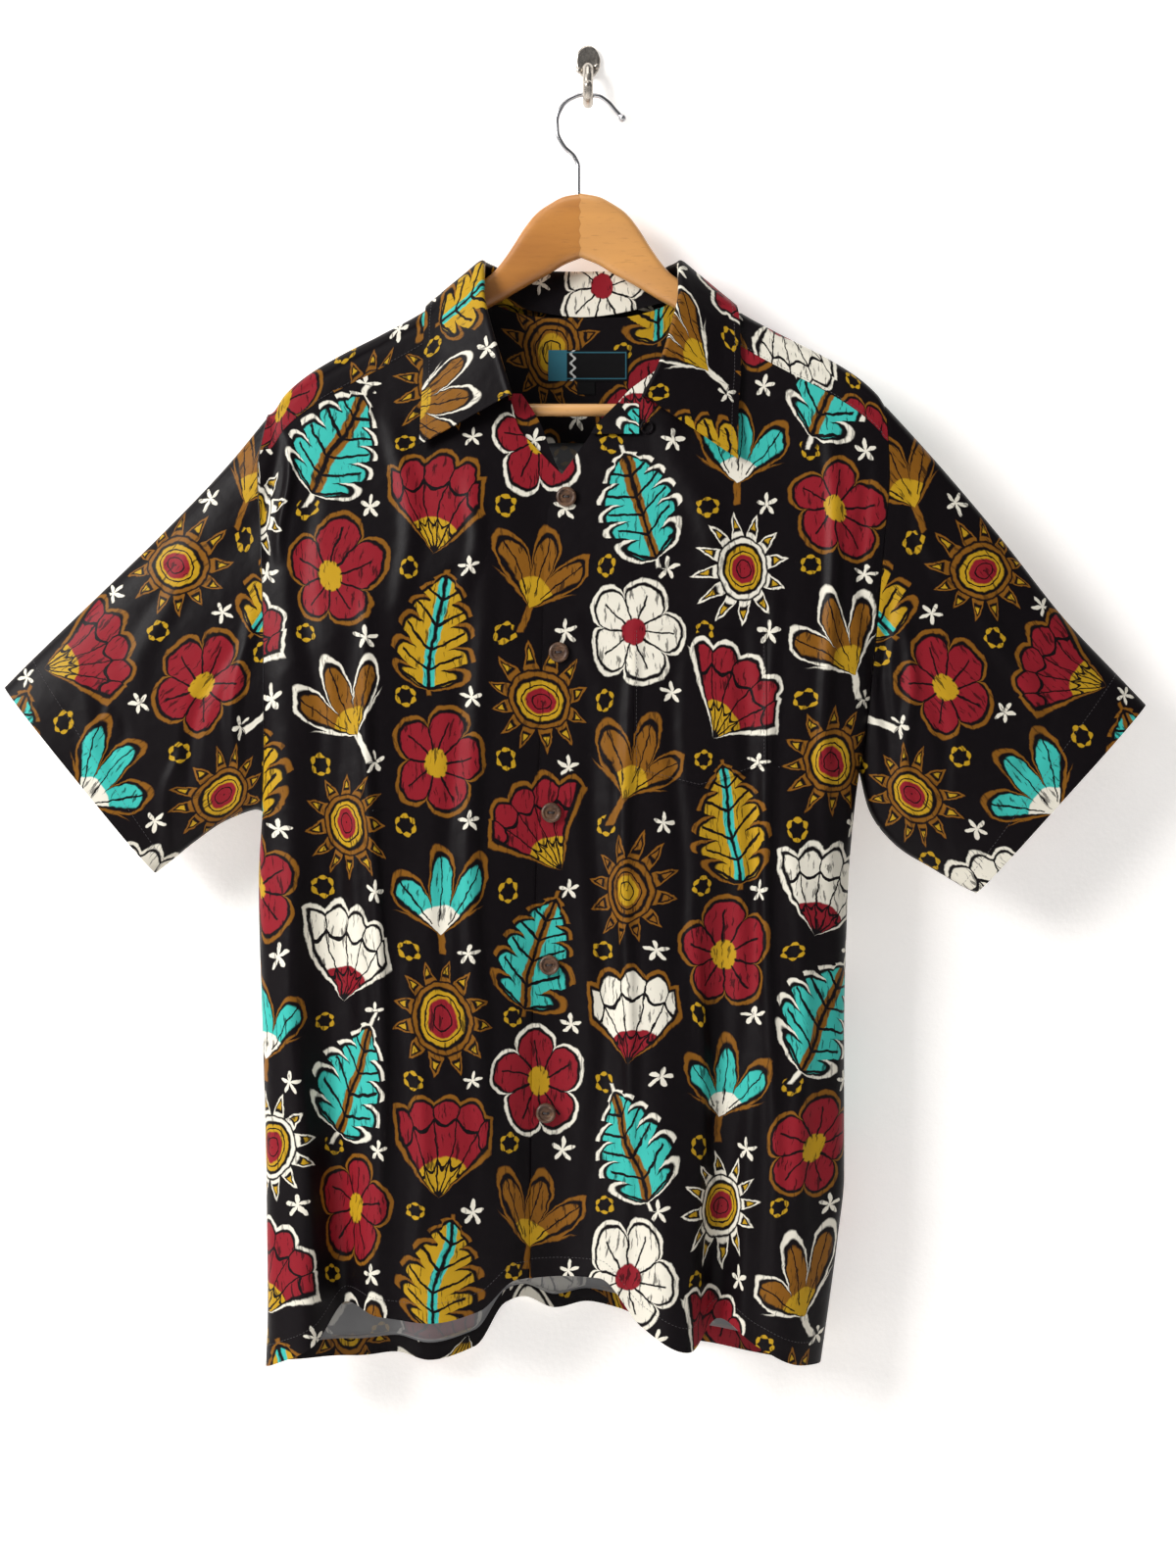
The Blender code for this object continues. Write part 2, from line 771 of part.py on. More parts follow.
def sleeve_grid(side, rows):
    """A tube from the armhole to the cuff.

    The root ring follows the edges of the front, the yoke and the back, so the seam closes. Each
    ring moves from the root's form to a flat oval between the upper and the lower fold.
    """
    if side < 0:
        front_edge = right_points[1:ARM_ROWS + 1, 0]
        yoke_edge_points = yoke_points[:, 0]
        back_edge = back_points[1:ARM_ROWS, 0]
    else:
        front_edge = left_points[1:ARM_ROWS + 1, -1]
        yoke_edge_points = yoke_points[:, -1]
        back_edge = back_points[1:ARM_ROWS, -1]
    root = np.concatenate([front_edge[::-1], yoke_edge_points, back_edge])
    crest = ARM_ROWS + ridge_row
    count = len(root)
    travel = np.linalg.norm(np.roll(root, -1, axis=0) - root, axis=1)
    up = np.concatenate([[0], np.cumsum(travel[:crest])])
    down = np.concatenate([[0], np.cumsum(travel[crest:])])
    turn = np.concatenate([math.pi * (1 - up / up[-1]), -math.pi * down[1:-1] / down[-1]])
    shares = np.linspace(0, 1, SLEEVE_STEPS + 1)
    grid = np.zeros((len(shares), count, 3))
    top_z = root[crest, 2]
    low_z = root[0, 2]
    root_along = (top_z - root[:, 2]) / (top_z - low_z)
    root_x = root[:, 0] - (root[crest, 0] + (root[0, 0] - root[crest, 0]) * root_along)
    oval_along = 0.5 - 0.5 * np.sign(np.cos(turn)) * np.abs(np.cos(turn)) ** 0.8
    oval_depth = np.sign(np.sin(turn)) * np.abs(np.sin(turn)) ** 0.75
    for k, share in enumerate(shares):
        blend = share * share * (3 - 2 * share)
        along = root_along * (1 - blend) + oval_along * blend
        line = {name: read(rows, "share", name, share) for name in rows if name != "share"}
        x = line["top_x"] + (line["low_x"] - line["top_x"]) * along + root_x * (1 - share) ** 2
        z = line["top_z"] + (line["low_z"] - line["top_z"]) * along
        oval = line["middle"] - np.where(oval_depth > 0, line["front"], line["back"]) * oval_depth
        y = root[:, 1] * (1 - blend) + oval * blend
        grid[k] = np.stack([x, y, z], axis=1)
    grid[0] = root
    around = unit(np.roll(grid, -1, axis=1) - np.roll(grid, 1, axis=1))
    down_arm = unit(np.gradient(grid, axis=0))
    outward = unit(np.cross(around, down_arm))
    centre = grid.mean(axis=1, keepdims=True)
    outward *= np.sign((outward * (grid - centre)).sum())
    outward[0, :, 0] = 0
    outward[0] = unit(outward[0])
    grid[0] += np.array([side, 0, -0.35]) * GAP * 1.3
    return grid, outward


for side, name, rows in ((-1, "sleeve_right", SLEEVE_A), (1, "sleeve_left", SLEEVE_B)):
    wall(name, *sleeve_grid(side, rows), "print", ring=True)


# ------------------------------------------------------------------ collar

COLLAR_STEPS = 36
COLLAR_STATIONS = (0, 0.28, 0.42, 0.5)
COLLAR_BACK = 0.139
COLLAR_END = 0.94
COLLAR_LIFT = 4.3
ROLL_HALF = 2.9
ROLL_LEG = 3.4


def lifted(points, margin):
    """Points moved off the garment where they are nearer to it than a margin."""
    x, y, z = points.T
    middle = bow(x)
    crown = ridge(x) - SHOULDER_ROUND
    ahead = np.minimum(y, front_y(x, z) - margin)
    behind = np.maximum(y, back_y(x, z) + margin)
    beside = np.where(y < middle, ahead, behind)
    off = np.stack([y - middle, z - crown], axis=1)
    length = np.linalg.norm(off, axis=1)
    push = np.maximum(1, (SHOULDER_ROUND + margin) / np.maximum(length, 1e-6))
    above = z > crown
    new_y = np.where(above, middle + off[:, 0] * push, beside)
    new_z = np.where(above, crown + off[:, 1] * push, z)
    return np.stack([x, new_y, new_z], axis=1)


def collar_grid():
    """Stand, roll and fall: a profile carried round the neck."""
    steps = np.linspace(0, 1, COLLAR_STEPS // 2 + 1)
    half = np.interp(steps, (0, 0.25, 0.75, 1), COLLAR_STATIONS)
    place = np.concatenate([half, 1 - half[-2::-1]])
    line = {name: read(COLLAR, "place", name, place) for name in COLLAR if name != "place"}
    behind = back_y(line["sewn_x"], line["sewn_z"]) - CLOTH - GAP
    ahead = front_y(line["sewn_x"], line["sewn_z"])
    sewn_y = np.where(np.abs(place - 0.5) < COLLAR_BACK, behind, ahead)
    sewn_y = np.convolve(np.pad(sewn_y, 1, mode="edge"), [0.25, 0.5, 0.25], mode="valid")
    sewn = np.stack([line["sewn_x"], sewn_y, line["sewn_z"]], axis=1)
    roll = np.stack([line["roll_x"], line["roll_y"], line["roll_z"]], axis=1)
    edge = np.stack([line["edge_x"], line["edge_y"], line["edge_z"]], axis=1)
    leg = unit(unit(sewn - roll) + unit(edge - roll))
    across = np.cross(unit(np.gradient(roll, axis=0)), leg)
    across *= np.sign((across * (edge - sewn)).sum(axis=1, keepdims=True))
    across = unit(across)
    stand_top = roll + leg * ROLL_LEG - across * ROLL_HALF
    fall_top = roll + leg * ROLL_LEG + across * ROLL_HALF
    clear = np.where(place > COLLAR_END, COLLAR_CLOTH, GAP + SEAM)
    sewn = sewn + unit(stand_top - sewn) * clear[:, None]
    profile = [sewn, sewn * 0.45 + stand_top * 0.55, stand_top,
               roll + leg * ROLL_LEG * 0.3 - across * ROLL_HALF * 0.7, roll,
               roll + leg * ROLL_LEG * 0.3 + across * ROLL_HALF * 0.7, fall_top]
    for share in (0.25, 0.5, 0.75, 1.0):
        point = fall_top + (edge - fall_top) * share
        profile.append(lifted(point, COLLAR_LIFT))
    grid = np.stack(profile, axis=1)
    along = unit(np.gradient(grid, axis=0))
    down = unit(np.gradient(grid, axis=1))
    outward = unit(np.cross(down, along))
    outward *= np.sign((outward[:, 0] * -across).sum())
    return grid, outward


collar_points, collar_out = collar_grid()
wall("collar", collar_points, collar_out, "print", thick=COLLAR_CLOTH)


# ------------------------------------------------------------------ facings, pocket, label, tag

def laid_grid(left, right, levels, columns, surface, lift):
    """A flat piece laid on a surface: rows at the levels, from a left to a right line."""
    share = np.linspace(0, 1, columns + 1)
    x = left[:, None] * (1 - share) + right[:, None] * share
    z = levels if levels.ndim == 2 else np.repeat(levels[:, None], columns + 1, axis=1)
    y = surface(x, z) + lift
    points = np.stack([x, y, z], axis=2)
    outward = unit(np.cross(unit(np.gradient(points, axis=0)), unit(np.gradient(points, axis=1))))
    return points, outward


levels = np.linspace(RIGHT_FACING["z"][-1], RIGHT_FACING["z"][0], 7)
open_edge = read(RIGHT_FACING, "z", "x", levels)
hidden_edge = read(RIGHT_EDGE, "z", "x", levels) - FACING_UNDER
facing = laid_grid(hidden_edge, open_edge, levels, 3, right_front_y, CLOTH + 3 * GAP)
wall("facing_right", *facing, "print", thick=FACING_CLOTH)

levels = np.linspace(LAPEL_TOP, LAPEL_LOW, 5)
roll_edge = read(LEFT_EDGE, "z", "x", levels) + GAP
facing = laid_grid(roll_edge, np.full_like(roll_edge, LAPEL_RIGHT), levels, 4, front_y, -TRIM_LIFT)
wall("facing_left", *facing, "print", thick=FACING_CLOTH)

pocket_x = np.linspace(POCKET["x"][0], POCKET["x"][-1], 9)
pocket_low = np.interp(pocket_x, POCKET["x"], POCKET["z"])
down = np.linspace(0, 1, 9)
pocket_z = POCKET_TOP + (pocket_low[None, :] - POCKET_TOP) * down[:, None]
pocket = laid_grid(np.full(9, pocket_x[0]), np.full(9, pocket_x[-1]), pocket_z, 8, front_y, -TRIM_LIFT)
wall("pocket", *pocket, "print", thick=POCKET_CLOTH)


def yoke_inside(x, z):
    """The neck side of the inner yoke."""
    return back_y(x, z) - 2 * CLOTH - 2 * GAP


for name, left, right, top, low in zip(*LABELS.values()):
    levels = np.linspace(top, low, 4)
    flat = laid_grid(np.full(4, left), np.full(4, right), levels, 6, yoke_inside, -LABEL_CLOTH)
    wall(name, *flat, "label", thick=LABEL_CLOTH)


# ------------------------------------------------------------------ buttons and loop

def solid_disc(name, radius, thick, centre, material, scale=(1, 1), segments=20):
    """A round or oval plate facing -Y, its back at the centre point, with softened edges."""
    work = bmesh.new()
    bmesh.ops.create_cone(work, cap_ends=True, segments=segments, radius1=radius * MM,
                          radius2=radius * MM, depth=thick * MM)
    for vertex in work.verts:
        x, y, z = vertex.co
        vertex.co = (x * scale[0] + centre[0] * MM, centre[1] * MM - z - thick * MM / 2,
                     y * scale[1] + (centre[2] + DATUM) * MM)
    mesh = bpy.data.meshes.new(name)
    work.to_mesh(mesh)
    work.free()
    made = add_object(name, mesh, material)
    outward_faces(made)
    bevel = made.modifiers.new("softened_edge", "BEVEL")
    bevel.width = thick * 0.25 * MM
    bevel.segments = 1
    bevel.limit_method = "ANGLE"
    return made


for k, (x, z) in enumerate(zip(*BUTTONS.values())):
    round_x = x + BUTTON_RADIUS * np.cos(np.linspace(0, 2 * math.pi, 25))
    round_z = z + BUTTON_RADIUS * np.sin(np.linspace(0, 2 * math.pi, 25))
    seat = min(front_y(round_x, round_z).min(), float(front_y(x, z))) - GAP
    solid_disc(f"button_{k + 1}", BUTTON_RADIUS, BUTTON_THICK, (x, seat, z), "button")


def torus(name, centre, major, minor, material):
    """A small ring that faces -Y."""
    bpy.ops.mesh.primitive_torus_add(major_segments=20, minor_segments=8, major_radius=major * MM,
                                     minor_radius=minor * MM,
                                     location=(centre[0] * MM, centre[1] * MM, (centre[2] + DATUM) * MM),
                                     rotation=(math.pi / 2, 0, 0))
    made = bpy.context.object
    made.name = name
    made.data.materials.append(materials[material])
    for group in list(made.users_collection):
        group.objects.unlink(made)
    shirt.objects.link(made)


loop_y = float(front_y(LOOP_X, LOOP_Z)) - LOOP_CORD - 3 * GAP
torus("collar_loop", (LOOP_X, loop_y, LOOP_Z), LOOP_RADIUS, LOOP_CORD, "print")


# ------------------------------------------------------------------ hanger

WOOD_STEPS = 16
WOOD_SIDES = 12


def hanger_wood():
    """Both arms as one loft: rounded sections along the bow, then a bore at each end for the bar."""
    reach_end = WOOD["across"][-1]
    across = np.sin(np.linspace(-1, 1, 2 * WOOD_STEPS + 1) * math.pi / 2) * 0.25
    across = (across + np.linspace(-1, 1, 2 * WOOD_STEPS + 1) * 0.75) * reach_end
    turn = np.linspace(0, 2 * math.pi, WOOD_SIDES, endpoint=False) + math.pi / WOOD_SIDES
    top = read(WOOD, "across", "top", np.abs(across))
    low = read(WOOD, "across", "low", np.abs(across))
    middle = (top + low) / 2
    half = (top - low) / 2
    cos = np.cos(turn)[None, :]
    sin = np.sin(turn)[None, :]
    height = np.sign(cos) * np.abs(cos) ** 0.45
    width = np.sign(sin) * np.abs(sin) ** 0.7
    x = np.repeat((CENTRE + across)[:, None], WOOD_SIDES, axis=1)
    z = middle[:, None] + height * half[:, None]
    y = bow(x) + width * WOOD_HALF
    points = np.stack([x, y, z], axis=2)
    rows = len(across)
    faces = []
    for i in range(rows - 1):
        for j in range(WOOD_SIDES):
            k = (j + 1) % WOOD_SIDES
            faces.append([i * WOOD_SIDES + j, i * WOOD_SIDES + k,
                          (i + 1) * WOOD_SIDES + k, (i + 1) * WOOD_SIDES + j])
    faces.append(list(range(WOOD_SIDES)))
    faces.append([(rows - 1) * WOOD_SIDES + j for j in range(WOOD_SIDES)][::-1])
    return outward_faces(from_faces("hanger_wood", points, faces, "wood"))


def rod(name, start, end, radius, material, group=None, segments=20):
    """A straight round rod along X."""
    length = (end[0] - start[0]) * MM
    bpy.ops.mesh.primitive_cylinder_add(vertices=segments, radius=radius * MM, depth=length,
                                        location=((start[0] + end[0]) / 2 * MM, start[1] * MM,
                                                  (start[2] + DATUM) * MM),
                                        rotation=(0, math.pi / 2, 0))
    made = bpy.context.object
    made.name = name
    made.data.materials.append(materials[material])
    for old_group in list(made.users_collection):
        old_group.objects.unlink(made)
    (group or shirt).objects.link(made)
    return made


wood = hanger_wood()
bar_y = float(bow(CENTRE + BAR_END))
rod("hanger_bar", (CENTRE - BAR_END, bar_y, BAR_Z), (CENTRE + BAR_END, bar_y, BAR_Z), BAR_RADIUS, "bar")
bore = rod("bar_bore", (CENTRE - BAR_END - GAP, bar_y, BAR_Z), (CENTRE + BAR_END + GAP, bar_y, BAR_Z),
           BAR_RADIUS + GAP, "bar", group=cutters)
bore.hide_render = True
bore.display_type = "WIRE"
cut = wood.modifiers.new("bar_bore", "BOOLEAN")
cut.operation = "DIFFERENCE"
cut.object = bore


def bent_wire(name, points, radius, material, fine=3, ball=0.0):
    """A round wire along a smooth path through the points, with a ball at its end if asked."""
    points = np.array(points, float)
    place = np.arange(len(points))
    at = np.linspace(0, len(points) - 1, fine * (len(points) - 1) + 1)
    path = np.stack([smooth(place, points[:, i], at) for i in range(3)], axis=1)
    swell = np.ones(len(path))
    if ball:
        along = np.array([-0.75, -0.4, 0, 0.4, 0.75, 0.95]) * ball
        ahead = unit(path[-1] - path[-2])
        path = np.concatenate([path, path[-1] + (along[:, None] + ball) * ahead])
        swell = np.concatenate([swell, np.sqrt(ball ** 2 - along ** 2) / radius])
    data = bpy.data.curves.new(name, "CURVE")
    data.dimensions = "3D"
    data.bevel_depth = radius * MM
    data.bevel_resolution = 2
    data.use_fill_caps = True
    spline = data.splines.new("POLY")
    spline.points.add(len(path) - 1)
    for point, (x, y, z), width in zip(spline.points, path, swell):
        point.co = (x * MM, y * MM, (z + DATUM) * MM, 1)
        point.radius = width
    made = bpy.data.objects.new(name, data)
    data.materials.append(materials[material])
    shirt.objects.link(made)
    return made


wire_path = [(x, WIRE_Y, z) for x, z in zip(*WIRE.values())]
wood_top = float(read(WOOD, "across", "top", CENTRE - WIRE["x"][0]))
wire_path[0] = (WIRE["x"][0], WIRE_Y, wood_top + GAP)
bent_wire("hanger_hook", wire_path, WIRE_RADIUS, "wire", ball=WIRE_BALL)
bent_wire("wall_prong", [(0, y, z) for y, z in zip(*PRONG.values())], PRONG_RADIUS, "nickel")
solid_disc("wall_plate", PLATE_WIDTH / 2, PLATE_THICK, (0, 0, -DATUM), "nickel",
           scale=(1, PLATE_HEIGHT / PLATE_WIDTH), segments=32)
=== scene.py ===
"""The looks of a hawaiian shirt, size M, on a wooden hanger that hangs on a metal wall hook.

Lengths are in millimetres until a mesh is made. Heights are measured from the DATUM, a level a
little below the frame's origin. The wall is the plane y = 0 and the shirt's front faces -Y.
"""
import math

import bpy
import mathutils
import numpy as np
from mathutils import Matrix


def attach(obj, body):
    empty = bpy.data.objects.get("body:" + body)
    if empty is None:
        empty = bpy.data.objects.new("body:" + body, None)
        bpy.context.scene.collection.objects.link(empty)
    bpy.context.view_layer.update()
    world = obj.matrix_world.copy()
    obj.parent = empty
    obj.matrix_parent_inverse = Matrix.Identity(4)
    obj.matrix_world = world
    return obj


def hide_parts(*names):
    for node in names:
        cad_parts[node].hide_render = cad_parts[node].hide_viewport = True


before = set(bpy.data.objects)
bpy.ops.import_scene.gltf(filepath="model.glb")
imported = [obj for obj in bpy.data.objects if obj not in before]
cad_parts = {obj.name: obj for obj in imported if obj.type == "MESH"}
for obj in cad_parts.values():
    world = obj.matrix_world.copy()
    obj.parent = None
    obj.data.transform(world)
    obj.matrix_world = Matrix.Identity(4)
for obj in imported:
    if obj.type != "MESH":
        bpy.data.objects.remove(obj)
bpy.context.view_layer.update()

MM = 0.001
DATUM = -19.0

# ==============================
# Camera: level, 2.075 m in front of the wall at the height of the chest, as the picture was taken.
CAMERA_PLACE = (0.0, -2.075, -0.550)
CAMERA_LENS = 62.5
SENSOR_WIDTH = 36.0

camera_data = bpy.data.cameras.new("camera")
camera_data.lens = CAMERA_LENS
camera_data.sensor_width = SENSOR_WIDTH
camera = bpy.data.objects.new("camera", camera_data)
camera.location = CAMERA_PLACE
camera.rotation_euler = (math.pi / 2, 0, 0)
bpy.context.scene.collection.objects.link(camera)
bpy.context.scene.camera = camera

# ==============================
# Wall hook: a nickel-plated casting, an oval plate with two small screws and one prong
# that comes out near its top, runs down and curls up at its tip, where the hanger's wire sits.
PLATE_SIZE = (18.8, 3.4, 24.8)
PLATE_OUT = (0.96, 1.0, 1.0, 0.985, 0.93, 0.86, 0.72, 0.4, 0.05)
PLATE_UP = (0.0, 0.12, 0.45, 0.75, 0.95, 1.0, 0.93, 0.9, 0.9)
PLATE_SIDES = 96
WALL_GAP = 0.02
PRONG = [(-3.2, 12.5), (-9.5, 12.5), (-14, 6), (-16.5, -5), (-20, -14), (-30, -19.4), (-38, -16),
         (-41, -9)]
PRONG_RADIUS = 3.9
PRONG_STEPS = 90
ROOT_STEPS = 14
ROOT_SWELL = 0.28
TIP_STEPS = 7
SCREWS = {"left": (-6.7, 12.2), "right": (6.7, 15.1)}
SCREW_RADIUS = 2.3
SCREW_DOME = 1.5
SCREW_SEAT = 3.0
METAL_SIDES = 32
HAZE_ROUGHNESS = 0.22
HAZE_RELIEF = 0.00008


def table(columns, *rows):
    """A short table as named columns."""
    return dict(zip(columns.split(), zip(*rows)))


def smooth(xs, ys, x):
    """Monotone cubic curve through the points, held level beyond its ends."""
    order = np.argsort(xs)
    xs = np.asarray(xs, float)[order]
    ys = np.asarray(ys, float)[order]
    step = np.diff(xs)
    slope = np.diff(ys) / step
    tilt = np.zeros_like(ys)
    product = slope[1:] * slope[:-1]
    safe = np.where(product > 0, slope[1:] + slope[:-1], 1.0)
    tilt[1:-1] = np.where(product > 0, 2 * product / safe, 0.0)
    tilt[0] = slope[0]
    tilt[-1] = slope[-1]
    x = np.clip(np.asarray(x, float), xs[0], xs[-1])
    i = np.clip(np.searchsorted(xs, x, side="right") - 1, 0, len(xs) - 2)
    t = (x - xs[i]) / step[i]
    value = ys[i] * (1 + 2 * t) * (1 - t) ** 2 + ys[i + 1] * t * t * (3 - 2 * t)
    return value + step[i] * t * (1 - t) * (tilt[i] * (1 - t) - tilt[i + 1] * t)


def unit(vectors):
    """The vectors scaled to length one."""
    return vectors / np.maximum(np.linalg.norm(vectors, axis=-1, keepdims=True), 1e-9)


def mesh_object(name, points, faces, materials, slots=None, uv=None, crease=50):
    """A smooth-shaded object on the body. uv holds one pair in metres for each point."""
    points = np.asarray(points, float).reshape(-1, 3) + (0, 0, DATUM)
    mesh = bpy.data.meshes.new(name)
    mesh.from_pydata((points * MM).tolist(), [], [list(face) for face in faces])
    for material in materials:
        mesh.materials.append(material)
    if slots is not None:
        mesh.polygons.foreach_set("material_index", np.asarray(slots, np.int32))
    if uv is not None:
        corners = np.zeros(len(mesh.loops), np.int32)
        mesh.loops.foreach_get("vertex_index", corners)
        layer = mesh.uv_layers.new(name="cloth")
        layer.data.foreach_set("uv", np.asarray(uv, float).reshape(-1, 2)[corners].ravel())
    mesh.shade_smooth()
    mesh.set_sharp_from_angle(angle=math.radians(crease))
    made = bpy.data.objects.new(name, mesh)
    bpy.context.scene.collection.objects.link(made)
    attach(made, "root")
    return made


def full_turn(steps):
    """Angles of one full turn, in even steps."""
    return np.linspace(0, 2 * math.pi, steps, endpoint=False)


def closed_loft(name, rings, material, crease=50):
    """A closed body: a grid of rings, each a closed loop, and a fan of triangles over each end."""
    rows, sides = rings.shape[:2]
    i, j = np.meshgrid(np.arange(rows - 1), np.arange(sides), indexing="ij")
    k = (j + 1) % sides
    quads = np.stack([i * sides + j, i * sides + k, (i + 1) * sides + k, (i + 1) * sides + j], -1)
    around = np.arange(sides)
    first = np.stack([around, np.full(sides, rows * sides), (around + 1) % sides], -1)
    last = np.stack([around, (around + 1) % sides, np.full(sides, rows * sides + 1)], -1)
    last[:, :2] += (rows - 1) * sides
    points = np.concatenate([rings.reshape(-1, 3), [rings[0].mean(axis=0)], [rings[-1].mean(axis=0)]])
    faces = quads.reshape(-1, 4).tolist() + first.tolist() + last.tolist()
    # The sign of the space between the first end and the last one's middle tells which way it faces
    corners = points[first] - points[-1]
    volume = (corners[:, 0] * np.cross(corners[:, 1], corners[:, 2])).sum()
    if volume < 0:
        faces = [face[::-1] for face in faces]
    return mesh_object(name, points, faces, [material], crease=crease)


def turned(out, up, sides):
    """Rings of a body turned about an axis across the wall: radius out and height up, row by row."""
    turn = full_turn(sides)
    return np.stack([np.outer(out, np.cos(turn)), -np.outer(up, np.ones(sides)),
                     np.outer(out, np.sin(turn))], axis=2)


def rings_along(path, radius, side_way, sides):
    """Round rings across a path in a plane: centre + radius (cos a * normal + sin a * side_way)."""
    heading = unit(np.gradient(path, axis=0))
    side_way = np.broadcast_to(side_way, path.shape)
    normal = unit(np.cross(side_way, heading))
    turn = full_turn(sides)[None, :, None]
    reach = np.broadcast_to(radius, len(path))[:, None, None]
    return path[:, None] + reach * (np.cos(turn) * normal[:, None] + np.sin(turn) * side_way[:, None])


def round_end(path, radius):
    """Radii and extra path points that close a round bar with a half ball at its last point."""
    ahead = unit(path[-1] - path[-2])
    turn = np.linspace(0, math.pi / 2, TIP_STEPS + 1)[1:]
    added = path[-1] + ahead * radius * np.sin(turn)[:, None]
    radii = np.concatenate([np.full(len(path), radius), radius * np.cos(turn)])
    return np.concatenate([path, added]), radii


def fine_path(points, count):
    """A smooth path with even parameter steps through a few points."""
    points = np.array(points, float)
    place = np.arange(len(points))
    at = np.linspace(0, len(points) - 1, count)
    return np.stack([smooth(place, points[:, k], at) for k in range(points.shape[1])], axis=1)


def wire(tree, socket, value):
    """Link an output, or a term's output, to a socket, or set the socket's own value."""
    value = getattr(value, "socket", value)
    if isinstance(value, bpy.types.NodeSocket):
        tree.links.new(value, socket)
    else:
        socket.default_value = value


def feed(tree, **values):
    """Set or link inputs of the material's Principled BSDF."""
    for key, value in values.items():
        wire(tree, tree.nodes["Principled BSDF"].inputs[key.replace("_", " ")], value)


def new_material(name, **values):
    """A material with its Principled BSDF's plain values set; gives the material and its tree."""
    material = bpy.data.materials.new(name)
    material.use_nodes = True
    feed(material.node_tree, **values)
    return material, material.node_tree


def add(tree, kind, properties=None, **inputs):
    """A node with its properties and inputs set, each to a value or to another node's output."""
    made = tree.nodes.new(kind)
    for key, value in (properties or {}).items():
        setattr(made, key, value)
    for key, value in inputs.items():
        wire(tree, made.inputs[key.replace("_", " ")], value)
    return made


def calc(tree, operation, *values, kind="ShaderNodeMath"):
    """The output of a Math node, or of a Vector Math node."""
    made = add(tree, kind, {"operation": operation})
    for socket, value in zip(made.inputs, values):
        wire(tree, socket, value)
    return made.outputs[0]


def blend(tree, share, one, other):
    """A colour between one and other."""
    made = add(tree, "ShaderNodeMix", {"data_type": "RGBA"})
    for number, value in ((0, share), (6, one), (7, other)):
        wire(tree, made.inputs[number], value)
    return made.outputs[2]


def between(tree, value, low, high):
    """0 below low, 1 above high, smooth between."""
    return add(tree, "ShaderNodeMapRange", {"interpolation_type": "SMOOTHSTEP"}, Value=value,
               From_Min=low, From_Max=high).outputs[0]


def surface_noise(tree, scale, detail=3.0, where=None, rough=0.55):
    """Noise on object coordinates, or on the given ones."""
    where = where or add(tree, "ShaderNodeTexCoord").outputs["Object"]
    return add(tree, "ShaderNodeTexNoise", Vector=where, Scale=scale, Detail=detail,
               Roughness=rough).outputs["Fac"]


def bumped(tree, height, distance, strength=1.0):
    """Feed the shader's normal from a height."""
    bump = add(tree, "ShaderNodeBump", Height=height, Distance=distance, Strength=strength)
    feed(tree, Normal=bump.outputs[0])


def new_group(name, inputs, outputs):
    """A shader node group with named sockets; gives it, its inner inputs and its inner outputs."""
    group = bpy.data.node_groups.new(name, "ShaderNodeTree")
    for in_out, sockets in (("INPUT", inputs), ("OUTPUT", outputs)):
        for socket, kind in sockets.items():
            group.interface.new_socket(socket, in_out=in_out, socket_type=f"NodeSocket{kind}")
    return group, group.nodes.new("NodeGroupInput").outputs, group.nodes.new("NodeGroupOutput").inputs


def plating_wear():
    """Haze: fine cloudiness of worn plating. Worn: soft patches where it has gone dull."""
    group, given, made = new_group("plating_wear", {"Haze Scale": "Float", "Wear Scale": "Float"},
                                   {"Haze": "Float", "Worn": "Float"})
    wire(group, made["Haze"], surface_noise(group, given["Haze Scale"], 4.0))
    wire(group, made["Worn"], between(group, surface_noise(group, given["Wear Scale"], 5.0), 0.52, 0.72))
    return group


wear_of_plating = plating_wear()


def plated_metal(name, colour, rough, wear_colour, haze_scale, wear_scale):
    """Polished plating with faint haze and darker worn patches."""
    material, tree = new_material(name, Metallic=1.0)
    wear = add(tree, "ShaderNodeGroup", {"node_tree": wear_of_plating}, Haze_Scale=haze_scale,
               Wear_Scale=wear_scale).outputs
    feed(tree, Base_Color=blend(tree, wear["Worn"], colour, wear_colour),
         Roughness=calc(tree, "MULTIPLY_ADD", wear["Haze"], HAZE_ROUGHNESS, rough - 0.1))
    bumped(tree, wear["Haze"], HAZE_RELIEF)
    return material


nickel = plated_metal("nickel_plate", (0.50, 0.46, 0.41, 1), 0.27, (0.24, 0.21, 0.18, 1), 420.0, 160.0)

# Plate: its profile turned about Y, from the wall to a flat crown with a rolled rim, taller than wide
plate_rings = turned(PLATE_OUT, PLATE_UP, PLATE_SIDES) * np.array(PLATE_SIZE) * (0.5, 1, 0.5)
plate = closed_loft("wall_plate_casting", plate_rings - (0, WALL_GAP, DATUM), nickel, crease=60)
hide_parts("wall_plate")

prong_path, prong_radii = round_end(fine_path([(0, y, z) for y, z in PRONG], PRONG_STEPS), PRONG_RADIUS)
prong_radii[:ROOT_STEPS] *= 1 + ROOT_SWELL * np.linspace(1, 0, ROOT_STEPS) ** 2
prong = closed_loft("wall_prong_casting", rings_along(prong_path, prong_radii, (1, 0, 0), METAL_SIDES),
                    nickel)
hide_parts("wall_prong")

dome = np.linspace(0, math.pi / 2, 8)[:-1]
dome_rings = turned(SCREW_RADIUS * np.cos(dome), SCREW_DOME * np.sin(dome), METAL_SIDES)
for side, (x, z) in SCREWS.items():
    screw = closed_loft(f"plate_screw_{side}", dome_rings + (x, -SCREW_SEAT, z), nickel)

